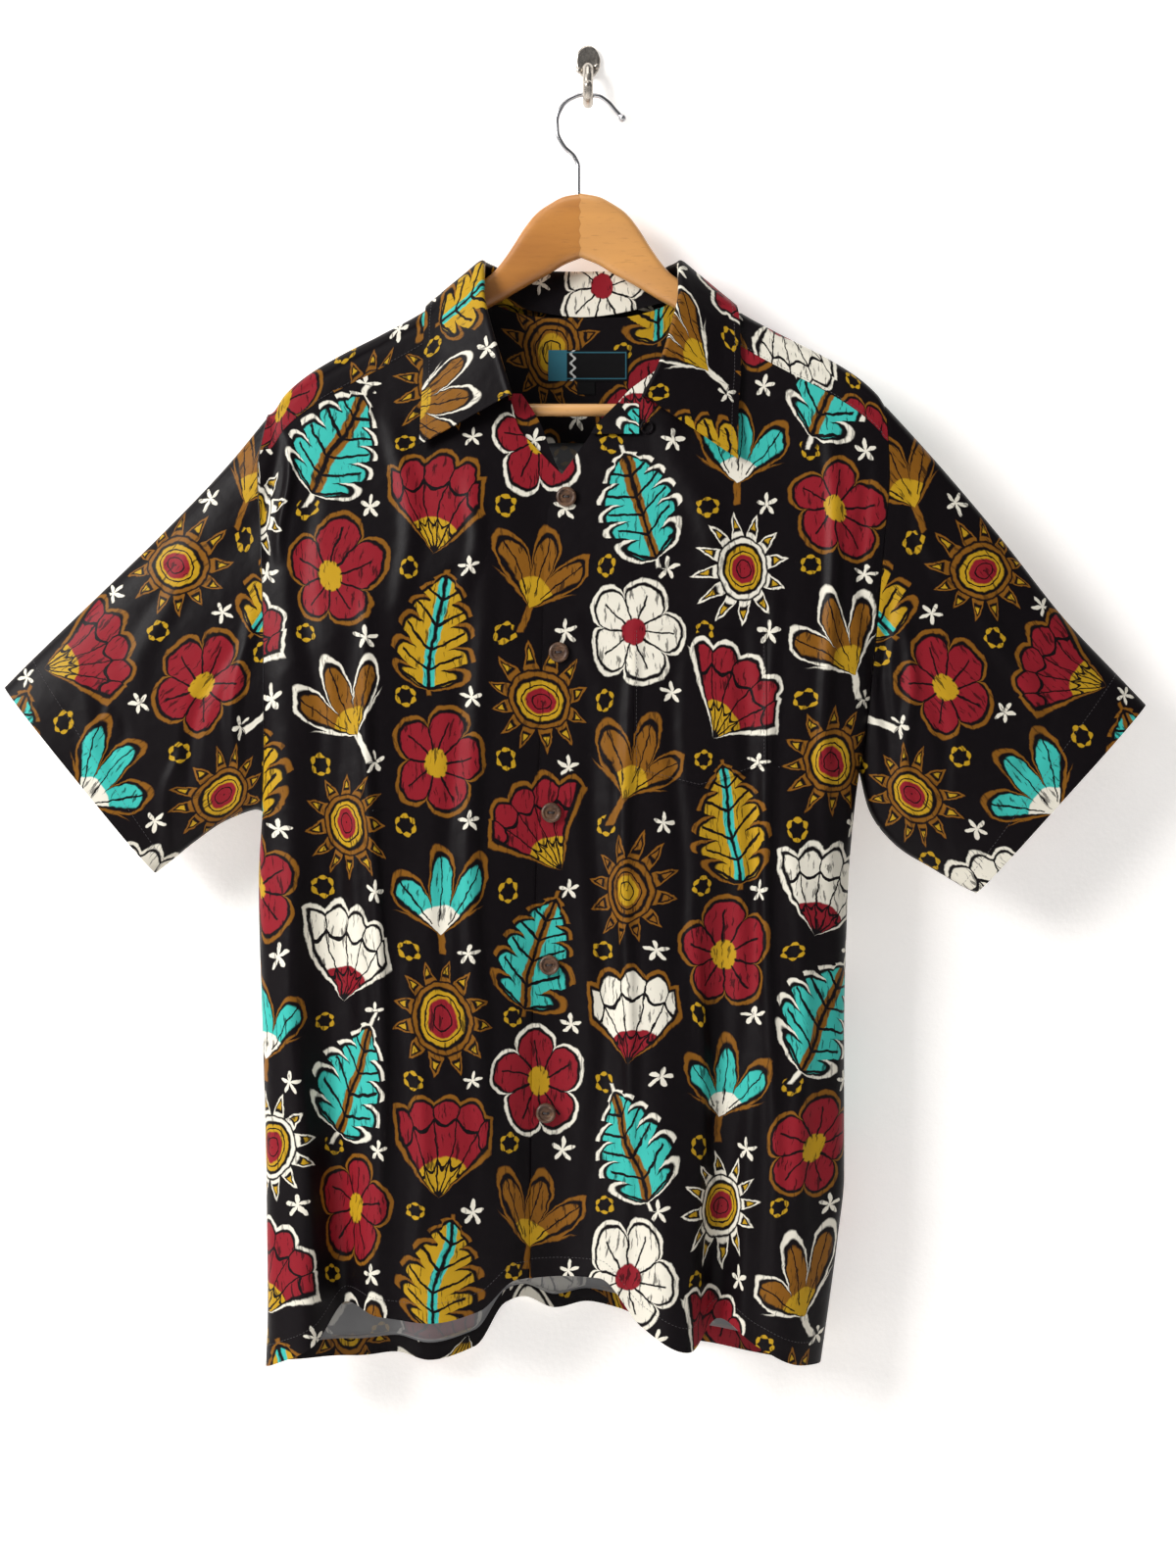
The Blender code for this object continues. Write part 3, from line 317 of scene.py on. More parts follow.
# ==============================
# Hanger wire: 3.5 mm bright steel wire, bent to a question mark, its end upset to a small ball.
WIRE_RADIUS = 1.75
WIRE_STEPS = 200
WIRE_SIDES = 24
WIRE_BALL = 3.0
BALL_AHEAD = 0.9
BALL_START = -0.62
BALL_STEPS = 16
WIRE_Y = -30.0
WIRE = [(-7.3, -92), (-7.3, -68.6), (-10, -60.2), (-18, -52), (-23, -41.5), (-23.4, -32.5),
        (-19.8, -22.5), (-12.5, -16), (-3.7, -13.2), (6.9, -14), (15.3, -19), (20.6, -25),
        (24, -28.8)]

steel = plated_metal("bright_steel", (0.52, 0.52, 0.54, 1), 0.2, (0.33, 0.32, 0.32, 1), 600.0, 90.0)
wire_path = fine_path([(x, WIRE_Y, z) for x, z in WIRE], WIRE_STEPS)
ball_turn = np.linspace(BALL_START, math.pi / 2, BALL_STEPS)
ahead = unit(wire_path[-1] - wire_path[-2])
ball_path = wire_path[-1] + ahead * WIRE_BALL * (BALL_AHEAD + np.sin(ball_turn))[:, None]
hook_path = np.concatenate([wire_path, ball_path])
hook_radii = np.concatenate([np.full(WIRE_STEPS, WIRE_RADIUS), WIRE_BALL * np.cos(ball_turn)])
hook = closed_loft("hanger_wire", rings_along(hook_path, hook_radii, (0, 1, 0), WIRE_SIDES), steel)
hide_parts("hanger_hook")

# ==============================
# Hanger arms: two pieces of beech, finger-jointed at the middle, rounded all over, turned towards
# the wearer and finished with a warm varnish. The ends are bored for the bar.
CENTRE = -5.0
WALL_SIDE = -30.0
BOW = 30.0
BOW_REACH = 245.0
WOOD_HALF = 6.4
END_OVER = 1.2
END_ROUND = 6.0
ARM_STEPS = 200
ARM_SIDES = 48
JOINT_X = -7.0
JOINT_PITCH = 4.5
JOINT_TOOTH = 0.35
JOINT_SOFT = 0.2
# Painted highlight: the tone of the arm past the joint, lighter as if lit more
PAINTED_LIGHT_ARM_TONE = (0.84, 0.47, 0.17, 1)
JOINT_LINE = (0.16, 0.06, 0.016, 1)
PORE = (0.22, 0.09, 0.022, 1)
PORE_SHARE = 0.3
GRAIN_RELIEF = 0.00006
# Noise scales along and across the grain
GRAIN_SCALE = (7, 60, 60)
PORE_SCALE = (90, 900, 900)
# Powers of the section's height and width: below 1 they square it
WOOD_SQUARE = 0.5
WOOD_BELLY = 0.72
WOOD = table(
    "across top low",
    (0, -87.6, -135.8), (12.5, -89.8, -140.8), (24, -95.7, -147.8), (33, -102, -152.8),
    (43, -114.2, -158.3), (50.5, -126.2, -162.8), (58.6, -138.2, -167.8), (66, -147.2, -171.8),
    (76, -154.7, -177.8), (86, -161.2, -183.8), (117, -181.7, -202.8), (151, -200.9, -221.8),
    (179, -216.4, -240.8), (197, -228.2, -258.8), (206, -236.2, -262.3), (213, -247.2, -259.8),
)


def bow(x):
    """The garment's middle surface: a parabola across that comes towards the viewer at the sides."""
    return WALL_SIDE - BOW * ((x - CENTRE) / BOW_REACH) ** 2


def read(rows, key, column, at):
    """A column of a table, read as a smooth curve over another column."""
    return smooth(rows[key], rows[column], at)


def wood_grain():
    """Grain along X. Rings: stretched noise and slow clouds. Pores: short dark dashes."""
    group, given, made = new_group("wood_grain", {"Grain": "Vector", "Pores": "Vector"},
                                   {"Rings": "Float", "Tone": "Float", "Pores": "Float"})
    where = add(group, "ShaderNodeTexCoord").outputs["Object"]
    stretched = [calc(group, "MULTIPLY", where, given[scale], kind="ShaderNodeVectorMath")
                 for scale in ("Grain", "Pores")]
    rings = surface_noise(group, 1.0, 4.0, stretched[0])
    dashes = between(group, surface_noise(group, 1.0, 2.0, stretched[1]), 0.60, 0.72)
    cloud = surface_noise(group, 9.0, 2.0)
    tone = calc(group, "ADD", calc(group, "MULTIPLY", rings, 0.9), calc(group, "MULTIPLY", cloud, 0.5))
    wire(group, made["Rings"], rings)
    wire(group, made["Tone"], between(group, tone, 0.45, 0.95))
    wire(group, made["Pores"], dashes)
    return group


grain_of_wood = wood_grain()


def varnished_wood(name, pale, deep, joint=None):
    """Beech under varnish, with a finger joint at a place along X in metres: a dark line, and past it a
    painted highlight that makes that arm lighter, as if the light fell more on it.
    """
    material, tree = new_material(name, Coat_Weight=0.35, Coat_Roughness=0.22)
    grain = add(tree, "ShaderNodeGroup", {"node_tree": grain_of_wood}, Grain=GRAIN_SCALE,
                Pores=PORE_SCALE).outputs
    colour = blend(tree, grain["Tone"], pale, deep)
    if joint is not None:
        place = add(tree, "ShaderNodeTexCoord").outputs["Object"]
        parts = add(tree, "ShaderNodeSeparateXYZ", Vector=place).outputs
        teeth = calc(tree, "MULTIPLY", calc(tree, "PINGPONG", parts[2], JOINT_PITCH * MM), JOINT_TOOTH)
        beyond = calc(tree, "SUBTRACT", calc(tree, "SUBTRACT", parts[0], joint), teeth)
        half = between(tree, beyond, -JOINT_SOFT * MM, JOINT_SOFT * MM)
        # Painted highlight: past the joint the arm is painted lighter, as if it faced the light more
        colour = blend(tree, calc(tree, "MULTIPLY", half, 0.34), colour, PAINTED_LIGHT_ARM_TONE)
        off = between(tree, calc(tree, "ABSOLUTE", beyond), 0.0, 2 * JOINT_SOFT * MM)
        line = calc(tree, "SUBTRACT", 1.0, off)
        colour = blend(tree, calc(tree, "MULTIPLY", line, 0.35), colour, JOINT_LINE)
    pores = calc(tree, "MULTIPLY", grain["Pores"], PORE_SHARE)
    colour = blend(tree, pores, colour, PORE)
    feed(tree, Base_Color=colour, Roughness=calc(tree, "MULTIPLY_ADD", grain["Rings"], 0.2, 0.3))
    bumped(tree, calc(tree, "SUBTRACT", grain["Rings"], grain["Pores"]), GRAIN_RELIEF)
    return material


# The arm past the joint gets the painted highlight
beech = varnished_wood("varnished_beech", (0.490, 0.208, 0.044, 1), (0.350, 0.132, 0.025, 1),
                       JOINT_X * MM)
# Arms: a rounded section over the tables' heights, drawn in over the last few mm of each end
even = np.linspace(-1, 1, ARM_STEPS + 1)
arm_end = WOOD["across"][-1] + END_OVER
across = (np.sin(even * math.pi / 2) * 0.25 + even * 0.75) * arm_end
end_fade = np.sqrt(np.clip((arm_end - np.abs(across)) / END_ROUND, 0.0, 1) + 1e-4)
turn = full_turn(ARM_SIDES) + math.pi / ARM_SIDES
top = read(WOOD, "across", "top", np.abs(across))
low = read(WOOD, "across", "low", np.abs(across))
middle = (top + low) / 2
half = (top - low) / 2 * (0.4 + 0.6 * end_fade)
height = np.sign(np.cos(turn)) * np.abs(np.cos(turn)) ** WOOD_SQUARE
width = np.sign(np.sin(turn)) * np.abs(np.sin(turn)) ** WOOD_BELLY
wood_x = np.repeat((CENTRE + across)[:, None], ARM_SIDES, axis=1)
wood_z = middle[:, None] + height * half[:, None]
wood_y = bow(wood_x) + width * WOOD_HALF * (0.55 + 0.45 * end_fade)[:, None]
arms = closed_loft("hanger_arms", np.stack([wood_x, wood_y, wood_z], axis=2), beech)
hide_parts("hanger_wood")

# ==============================
# Hanger bar: a turned beech dowel, 9.4 mm thick, glued into the bores at the arms' ends.
BAR_RADIUS = 4.7
BAR_Z = -253.0
BAR_END = 201.5
BAR_BORE = 203.0
BAR_STEPS = 60
BAR_SIDES = 40

dowel = varnished_wood("pale_dowel", (0.66, 0.36, 0.13, 1), (0.48, 0.23, 0.070, 1))
bar_path = np.stack([CENTRE + np.linspace(-BAR_END, BAR_END, BAR_STEPS),
                     np.full(BAR_STEPS, float(bow(CENTRE + BAR_BORE))), np.full(BAR_STEPS, BAR_Z)],
                    axis=1)
bar = closed_loft("hanger_dowel", rings_along(bar_path, BAR_RADIUS, (0, 1, 0), BAR_SIDES), dowel)
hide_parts("hanger_bar")

# ==============================
# Printed cloth: soft, slightly glossy rayon, dark aubergine, with a bold print of this file's own:
# flowers, notched leaves, scallop shells, suns and palm fans in half-drop rows, small marks between
# them. The wrong side is a washed grey through which the print shows faintly.
GROUND = (0.0034, 0.0021, 0.0030, 1)
OCHRE = (0.200, 0.080, 0.008, 1)
YELLOW = (0.430, 0.255, 0.012, 1)
TURQUOISE = (0.040, 0.420, 0.370, 1)
CRIMSON = (0.220, 0.010, 0.018, 1)
CREAM = (0.700, 0.670, 0.580, 1)
WASHED = (0.270, 0.275, 0.285, 1)
CELL = (0.074, 0.094)
MOTIF = (0.0375, 0.0435)
REPEAT = 5.0
LEAN = 0.55
# Scale, detail and reach in metres of the slow bend of the rows and of the brush's rough edge
BENDS = ((13.0, 1.0, 0.020), (120.0, 3.0, 0.0032))
GUARD = 0.955
BRUSH_SCALE = (420.0, 60.0, 1.0)
BRUSH_DRY = 0.60
DRY_FILL = 0.75
DRY_OUTLINE = 0.5
DRY_MARK = 0.6
FILL_EDGE = -0.105
OUTLINE_HALF = 0.036
OCHRE_RIMS = 0.78
MARK_SHIFT = 0.30
MARK_SCALE = 100.0
SHOW_THROUGH = 0.30
SLUB_SCALE = 700.0
CRUMPLE_SCALE = 34.0
CLOTH_RELIEF = 0.0016
# One pair of fills for each motif in its two colourings: flower, leaf, shell, sun, fan
FILLS = (CRIMSON, CREAM, TURQUOISE, YELLOW, CREAM, CRIMSON, YELLOW, OCHRE, OCHRE, TURQUOISE)
HEARTS = (YELLOW, CRIMSON, OCHRE, TURQUOISE, CRIMSON, YELLOW, CRIMSON, YELLOW, YELLOW, CREAM)


class Term:
    """An output in a node tree that can stand in a formula: each operation adds one Math node."""

    def __init__(self, tree, socket):
        self.tree = tree
        self.socket = socket

    def do(self, operation, *others):
        return Term(self.tree, calc(self.tree, operation, self, *others))

    def __add__(self, other):
        return self.do("ADD", other)

    def __sub__(self, other):
        return self.do("SUBTRACT", other)

    def __mul__(self, other):
        return self.do("MULTIPLY", other)

    def __truediv__(self, other):
        return self.do("DIVIDE", other)

    def __pow__(self, other):
        return self.do("POWER", other)

    def __neg__(self):
        return self.do("MULTIPLY", -1.0)

    def __abs__(self):
        return self.do("ABSOLUTE")

    def __rsub__(self, other):
        return self.do("MULTIPLY_ADD", -1.0, other)

    __radd__ = __add__
    __rmul__ = __mul__


def within(term, limit, soft=0.014):
    """1 where the term is below the limit, 0 above it, with a narrow soft step."""
    return Term(term.tree, between(term.tree, limit - term, -soft, soft))


def two_parts(tree, vector):
    """The first two parts of a vector as terms."""
    parts = add(tree, "ShaderNodeSeparateXYZ", Vector=vector).outputs
    return Term(tree, parts[0]), Term(tree, parts[1])


def polar(x, y):
    """Distance from the middle, and the angle from straight up."""
    return (x * x + y * y).do("SQRT"), x.do("ARCTAN2", y)


def lattice(u, v):
    """Half-drop rows: place in its cell and the cell's column and row."""
    across = u / CELL[0]
    column = across.do("FLOOR")
    drop = v / CELL[1] + column.do("FLOORED_MODULO", 2.0) * 0.5
    row = drop.do("FLOOR")
    return (across - column - 0.5) * CELL[0], (drop - row - 0.5) * CELL[1], column, row


def flower(x, y):
    """Five broad petals: radius 0.60 + 0.36 |cos 2.5 a|^0.45, with veins and seams between them."""
    r, turn = polar(x, y)
    lobe = abs((turn * 2.5).do("COSINE"))
    edge = (lobe ** 0.45).do("MULTIPLY_ADD", 0.36, 0.60)
    vein = within(abs((turn * 2.5).do("SINE")) * r, 0.045) * within(r, 0.72)
    seam = within(lobe * r, 0.05)
    return r - edge, vein.do("MAXIMUM", seam) * within(-r, -0.22), within(r, 0.24)


def leaf(x, y):
    """A heart-shaped leaf whose edge is cut by slits that run up from its midrib."""
    side = abs(x)
    phase = (y * 2.6 - side * 1.5).do("FRACT")
    slit = phase ** 3.0 * within(-side, -0.2)
    width = ((1.0 - y * y).do("MAXIMUM", 0.0) ** 0.62) * (y * -0.26 + 0.80) * (1.0 - slit * 0.5)
    vein = within(abs(phase - 0.40), 0.07) * within(side, 0.6)
    return (side - width) * 0.8, vein.do("MAXIMUM", within(side, 0.035)), within(side, 0.11)


def shell(x, y):
    """A scallop: ribs that spread from the hinge, and a scalloped rim."""
    reach_out, angle = polar(x, y + 0.82)
    rib = abs((angle * 9.0).do("COSINE"))
    rim = rib.do("MULTIPLY_ADD", 0.16, 1.50)
    edge = (reach_out - rim).do("MAXIMUM", (abs(angle) - 0.86) * 0.9)
    band = within(abs((reach_out * 5.2 + rib * 0.7).do("SINE")), 0.16)
    return edge, within(rib * reach_out, 0.13).do("MAXIMUM", band), within(reach_out, 0.62)


def sun(x, y):
    """A disc with a ring of twelve pointed rays round it."""
    r, turn = polar(x, y)
    saw = abs((turn * (6.0 / math.pi)).do("FRACT") - 0.5)
    ray = (saw * 0.95) + (r - 0.60) * 0.95 - 0.33
    rays = ray.do("MAXIMUM", 0.60 - r)
    disc = r - 0.50
    rings = within(abs((r * 20.0).do("SINE")), 0.25) * within(r, 0.46)
    return rays.do("MINIMUM", disc), rings, within(r, 0.26)


def fan(x, y):
    """A palm fan: narrow blades that spread from a stalk."""
    reach_out, angle = polar(x, y + 0.70)
    blade = abs((angle * 4.6).do("COSINE"))
    rim = (blade ** 0.7).do("MULTIPLY_ADD", 0.85, 0.58)
    edge = (reach_out - rim).do("MAXIMUM", abs(angle) - 1.02)
    stalk = (abs(x) - 0.035).do("MAXIMUM", y + 0.60)
    fold = within(abs((angle * 4.6).do("SINE")) * reach_out, 0.06)
    fold = fold * within(-reach_out, -0.25)
    return (edge * 0.6).do("MINIMUM", stalk), fold, within(reach_out, 0.5)


def printed_cloth():
    """Shader group: colour of the cloth's right side from its own coordinates in metres.

    The place is bent by slow noise, so the rows wander, and by fine noise, for a brush's edge.
    """
    group, given, made = new_group("printed_cloth", {"Place": "Vector"}, {"Color": "Color"})
    place = given["Place"]
    for scale, detail, amount in BENDS:
        bend = add(group, "ShaderNodeTexNoise", {"noise_dimensions": "2D"}, Vector=given["Place"],
                   Scale=scale, Detail=detail).outputs["Color"]
        shift = calc(group, "SUBTRACT", bend, (0.5, 0.5, 0.5), kind="ShaderNodeVectorMath")
        place = calc(group, "MULTIPLY_ADD", shift, (amount, amount, 0.0), place,
                     kind="ShaderNodeVectorMath")
    u, v = two_parts(group, place)

    cell_x, cell_y, column, row = lattice(u, v)
    home = add(group, "ShaderNodeCombineXYZ", X=column.do("FLOORED_MODULO", REPEAT),
               Y=row.do("FLOORED_MODULO", REPEAT))
    chance = add(group, "ShaderNodeTexWhiteNoise", {"noise_dimensions": "2D"}, Vector=home.outputs[0])
    chances = add(group, "ShaderNodeSeparateColor", Color=chance.outputs["Color"]).outputs
    lean = Term(group, chances[0]).do("MULTIPLY_ADD", 2 * LEAN, -LEAN)
    kind = (column * 2.0 + row).do("FLOORED_MODULO", 5.0)
    upright = add(group, "ShaderNodeCombineXYZ", X=cell_x / MOTIF[0], Y=cell_y / MOTIF[1])
    leaning = add(group, "ShaderNodeVectorRotate", {"rotation_type": "Z_AXIS"},
                  Vector=upright.outputs[0], Angle=lean)
    x, y = two_parts(group, leaning.outputs[0])

    shapes = []
    for number, motif in enumerate((flower, leaf, shell, sun, fan)):
        chosen = kind.do("COMPARE", float(number), 0.5)
        shapes.append([value * chosen for value in motif(x, y)])
    edge, lines, heart = [sum(same[1:], same[0]) for same in zip(*shapes)]

    guard = (abs(cell_x) * (2.0 / CELL[0])).do("MAXIMUM", abs(cell_y) * (2.0 / CELL[1])) - GUARD
    edge = edge.do("MAXIMUM", guard)
    pick = (kind + Term(group, chances[1]).do("GREATER_THAN", 0.5) * 0.5 + 0.25) / 5.0
    colours = []
    for table_of in (FILLS, HEARTS):
        ramp = add(group, "ShaderNodeValToRGB", Fac=pick)
        ramp.color_ramp.interpolation = "CONSTANT"
        while len(ramp.color_ramp.elements) < len(table_of):
            ramp.color_ramp.elements.new(1.0)
        for number, colour in enumerate(table_of):
            ramp.color_ramp.elements[number].position = number / len(table_of)
            ramp.color_ramp.elements[number].color = colour
        colours.append(ramp.outputs[0])
    streaks = add(group, "ShaderNodeMapping", Vector=place, Scale=BRUSH_SCALE).outputs[0]
    brush = Term(group, surface_noise(group, 1.0, 3.0, streaks))
    dry = within(-brush, -BRUSH_DRY, 0.03)
    fill = within(edge, FILL_EDGE) * (1.0 - lines) * (1.0 - dry * DRY_FILL)
    outline = within(abs(edge + 0.005), OUTLINE_HALF) * (1.0 - dry * DRY_OUTLINE)
    colour = blend(group, fill, GROUND, blend(group, heart, *colours))
    rim = blend(group, Term(group, chances[2]).do("GREATER_THAN", OCHRE_RIMS), OCHRE, CREAM)
    colour = blend(group, outline, colour, rim)

    for sign, ink in ((1.0, YELLOW), (-1.0, CREAM)):
        x, y = lattice(u + sign * CELL[0] * MARK_SHIFT, v + CELL[1] * 0.5)[:2]
        r, turn = polar(x, y)
        r = r * MARK_SCALE
        if sign > 0:
            mark = within(abs(r - 0.62), abs((turn * 3.0).do("COSINE")) * 0.16, 0.03)
        else:
            mark = within(r, (turn * 2.5).do("COSINE") ** 2.0 * 0.75 + 0.12, 0.04)
        mark = mark * within(-edge, -0.10)
        colour = blend(group, mark * (1.0 - dry * DRY_MARK), colour, ink)
    wire(group, made["Color"], colour)
    return group


def cloth_materials():
    """The right side and the wrong side of the cloth: plain weave, soft small crumples, low sheen."""
    group = printed_cloth()
    made = []
    for name, washed in (("print_right_side", False), ("print_wrong_side", True)):
        material, tree = new_material(name, Sheen_Weight=0.008, Sheen_Roughness=0.35,
                                      Specular_IOR_Level=0.11)
        place = add(tree, "ShaderNodeUVMap", {"uv_map": "cloth"}).outputs[0]
        colour = add(tree, "ShaderNodeGroup", {"node_tree": group}, Place=place).outputs[0]
        if washed:
            colour = blend(tree, SHOW_THROUGH, WASHED, colour)
        slub = surface_noise(tree, SLUB_SCALE, 4.0, place, 0.7)
        crumple = surface_noise(tree, CRUMPLE_SCALE, 2.5, place, 0.5)
        feed(tree, Base_Color=colour, Roughness=calc(tree, "MULTIPLY_ADD", slub, 0.24, 0.34))
        bumped(tree, calc(tree, "MULTIPLY_ADD", slub, 0.05, crumple), CLOTH_RELIEF, 0.8)
        made.append(material)
    return made


right_side, wrong_side = cloth_materials()

# ==============================
# Fronts: two panels cut with the neck, the armhole and the side as their edges. The left one laps
# over the right. The cloth falls from the yoke, full over the chest, with soft folds to the hem.
CLOTH = 0.7
SEAM = 0.15
BODY_HEM = 15.0
NECK_HALF = 86.0
FRONT_DEPTH = 50.0
BACK_DEPTH = 22.0
SHOULDER_ROUND = 10.5
CHEST_FALL = 200.0
FALL_POWER = 0.7
SIDE_BEND = 2.6
ROUND_BEND = 8.0
FOLD_FOOT = -950.0
FOLD_POWER = 1.2
FOLD_SIDE = 10
CREASE_WANDER = 0.5
CREASE_POWER = 0.7
QUIET_TOP = 24.0
QUIET_FADE = 40.0
QUIET_SIDE = 12
SIDE_FOOT = -960.0
EDGE_SQUARE = -318.0
EDGE_FOOT = -895.0
YOKE_DROP = 28.0
ARM_TOP = {-1: -255.0, 1: -250.0}
ARM_LOW = {-1: -552.0, 1: -520.0}
TOP_REACH = 16.0
MID_REACH = 5.0
OVERLAP_START = -62.0
OVERLAP_WIDTH = 36.0
OVERLAP_SINK = 3.2
ARM_ROWS = 84
BODY_ROWS = 130
FRONT_COLUMNS = 88
CREASE_ANGLE = 70
SHOULDER_COLUMNS = FRONT_COLUMNS // 2
NECK_COLUMNS = 56
BACK_COLUMNS = 2 * SHOULDER_COLUMNS + NECK_COLUMNS
ROW_STEPS = 1200
PLACE_STEPS = 40
EDGE_ROWS = 30
STITCH_PITCH = 2.8
STITCH_LENGTH = 1.9
STITCH_SINK = 0.05
STITCH_RINGS = (-0.98, -0.6, 0.0, 0.6, 0.98)
STITCH_SIDES = 6
THREAD_RADIUS = 0.19

SIDES = table(
    "z left right",
    (-965, -238, 172), (-915, -236.5, 179), (-865, -237, 185.5), (-820, -237.5, 190), (-720, -240, 190),
    (-604, -243, 193), (-545, -240, 198), (-500, -238, 204), (-430, -238, 211), (-360, -240, 217),
    (-300, -243, 222), (-270, -239, 221), (-240, -232, 219),
)
RIDGE = table(
    "across z",
    (0, -150), (60, -149), (86, -154), (117, -177), (151, -196.5), (179, -211.6), (203, -227),
    (219.5, -242), (229, -256), (246, -263),
)
RIGHT_EDGE = table(
    "z x",
    (-895, -15), (-664, -11), (-552, -9), (-435, -4), (-360, 1), (-325, 2), (-298, -24), (-283, -38),
    (-268, -51), (-247, -57), (-230, -64), (-205, -76), (-182, -91),
)
LEFT_EDGE = table(
    "z x",
    (-895, -42.5), (-747, -41), (-567, -37), (-460, -34), (-359, -32), (-318, -27), (-290, -10),
    (-274, 1), (-267, 5), (-250, 21), (-239, 31), (-230, 43), (-221, 54), (-201, 68), (-182, 81),
)
FRONT_HEM = table(
    "x z",
    (-238, -960), (-200, -941), (-178, -913), (-150, -920), (-115, -924), (-80, -917), (-52, -895),
    (8, -894), (40, -929), (75, -946), (97, -926), (125, -944), (158, -958), (173, -959),
)
FRONT_FOLDS = table(
    "low top z_top half out",
    (-208, -226, -520, 18, 5), (-178, -206, -370, 25, -28), (-112, -92, -400, 46, 9),
    (-22, -20, -440, 46, -17), (60, 32, -430, 32, 11), (94, 103, -480, 22, -22),
    (146, 168, -320, 30, 10), (-160, -158, -300, 26, 5), (70, 62, -330, 30, 3),
)

# Finer creases of the fronts: a soft ridge (out) or trough (-out) from one point to another
FRONT_CREASES = table(
    "x_top z_top x_low z_low half out",
    (-218, -560, -206, -900, 12, 3.8), (-180, -400, -166, -930, 13, -5.0),
    (-160, -380, -150, -900, 8, 5.0), (-205, -300, -200, -560, 13, -3.2),
    (-128, -640, -122, -915, 9, 3.0), (-100, -420, -104, -760, 9, -2.0),
    (-80, -360, -80, -880, 12, 4.4), (-221, -262, -224, -370, 6, 5.8),
    (-232, -262, -236, -380, 7, -4.8), (-140, -250, -132, -430, 12, 3.0),
    (-78, -290, -92, -400, 10, 2.6), (10, -440, 4, -890, 13, -4.6), (34, -400, 24, -905, 8, 5.0),
    (66, -420, 64, -700, 9, -2.6), (80, -600, 84, -930, 7, 3.0), (118, -400, 112, -930, 11, -4.6),
    (134, -380, 132, -930, 8, 5.0), (176, -250, 178, -640, 9, 5.0), (203, -290, 206, -490, 8, -3.8),
    (150, -560, 162, -900, 10, 3.0), (60, -250, 96, -400, 16, 2.4), (-8, -400, 10, -520, 12, 1.6),
)


def ridge(x):
    """Height of the shoulder line."""
    return read(RIDGE, "across", "z", np.abs(x - CENTRE))


def side_x(side, z):
    """The armhole seam above the underarm and the side seam below it."""
    return read(SIDES, "z", "left" if side < 0 else "right", z)


def reach(side, z):
    """How far the body would swell past its armhole seam, which leaves the armhole its width."""
    share = np.clip((ARM_TOP[side] - z) / (ARM_TOP[side] - ARM_LOW[side]), 0, 1)
    return TOP_REACH * (1 - share) ** 2 + MID_REACH * np.sin(math.pi * share)


def spread(x, z):
    """Place across the body: -1 and 1 at its two sides."""
    left = side_x(-1, z) - reach(-1, z)
    right = side_x(1, z) + reach(1, z)
    return np.clip((x - (left + right) / 2) / ((right - left) / 2), -1, 1)


def fullness(x, z, depth):
    """Distance from the middle surface: a quarter round over the shoulder, then a power of the fall.

    Both fade to nothing at the sides as a superellipse does.
    """
    below = np.maximum(ridge(x) - z, 0)
    across = np.abs(spread(x, z))
    turned = SHOULDER_ROUND * np.sqrt(1 - (1 - np.minimum(below / SHOULDER_ROUND, 1)) ** 2)
    fall = np.clip((below - SHOULDER_ROUND) / CHEST_FALL, 0, 1) ** FALL_POWER
    round_side = (1 - across ** ROUND_BEND) ** (1 / ROUND_BEND)
    full_side = (1 - across ** SIDE_BEND) ** (1 / SIDE_BEND)
    return turned * round_side + (depth - SHOULDER_ROUND) * fall * full_side


def fold_height(folds, x, z):
    """Sum of the large folds: squared cosines across, each deeper from its top to the hem."""
    total = np.zeros(np.broadcast(x, z).shape)
    for low, top, z_top, half, out in zip(*folds.values()):
        share = np.clip((z_top - z) / (z_top - FOLD_FOOT), 0, 1)
        centre = top + (low - top) * share
        bump = np.cos(np.clip((x - centre) / half, -1, 1) * math.pi / 2) ** 2
        total = total + out * share ** FOLD_POWER * bump
    return total * (1 - np.abs(spread(x, z)) ** FOLD_SIDE)


def crease_height(creases, x, z):
    """Sum of fine creases: squared cosine across a line, sine along it, with a wandering centre."""
    total = np.zeros(np.broadcast(x, z).shape)
    for x0, z0, x1, z1, half, out in zip(*creases.values()):
        length = math.hypot(x1 - x0, z1 - z0)
        along = ((x - x0) * (x1 - x0) + (z - z0) * (z1 - z0)) / length ** 2
        off = ((x - x0) * (z1 - z0) - (z - z0) * (x1 - x0)) / length
        off = off + half * CREASE_WANDER * np.sin(along * 7 + x0)
        fade = np.sin(np.clip(along, 0, 1) * math.pi) ** CREASE_POWER
        total = total + out * fade * np.cos(np.clip(off / half, -1, 1) * math.pi / 2) ** 2
    return total


def ripple(x, z):
    """Slow unevenness of hanging cloth: a few sines of unlike wavelengths, 1 mm in all."""
    return (0.45 * np.sin(x / 31 + 1.3 * np.sin(z / 97)) + 0.3 * np.sin(x / 17 + z / 61)
            + 0.22 * np.sin(z / 43 + 1.7 * np.sin(x / 71)) + 0.12 * np.sin(x / 9.5 - z / 88))


def quiet(x, z):
    """0 at the shoulder and the seams at the sides, 1 on open cloth: there the ripples may show."""
    down = np.clip((ridge(x) - z - QUIET_TOP) / QUIET_FADE, 0, 1)
    return down * (1 - np.abs(spread(x, z)) ** QUIET_SIDE)


def front_y(x, z):
    """Outer face of the front."""
    fine = (ripple(x, z) + crease_height(FRONT_CREASES, x, z)) * quiet(x, z)
    return bow(x) - fullness(x, z, FRONT_DEPTH) - fold_height(FRONT_FOLDS, x, z) - fine


def right_front_y(x, z):
    """Outer face of the right front, which dips under the left one at the buttons."""
    share = np.clip((x - OVERLAP_START) / OVERLAP_WIDTH, 0, 1)
    return front_y(x, z) + OVERLAP_SINK * share * share * (3 - 2 * share)


def heading_along(points):
    """Direction along a row of points."""
    return unit(np.gradient(points, axis=0))


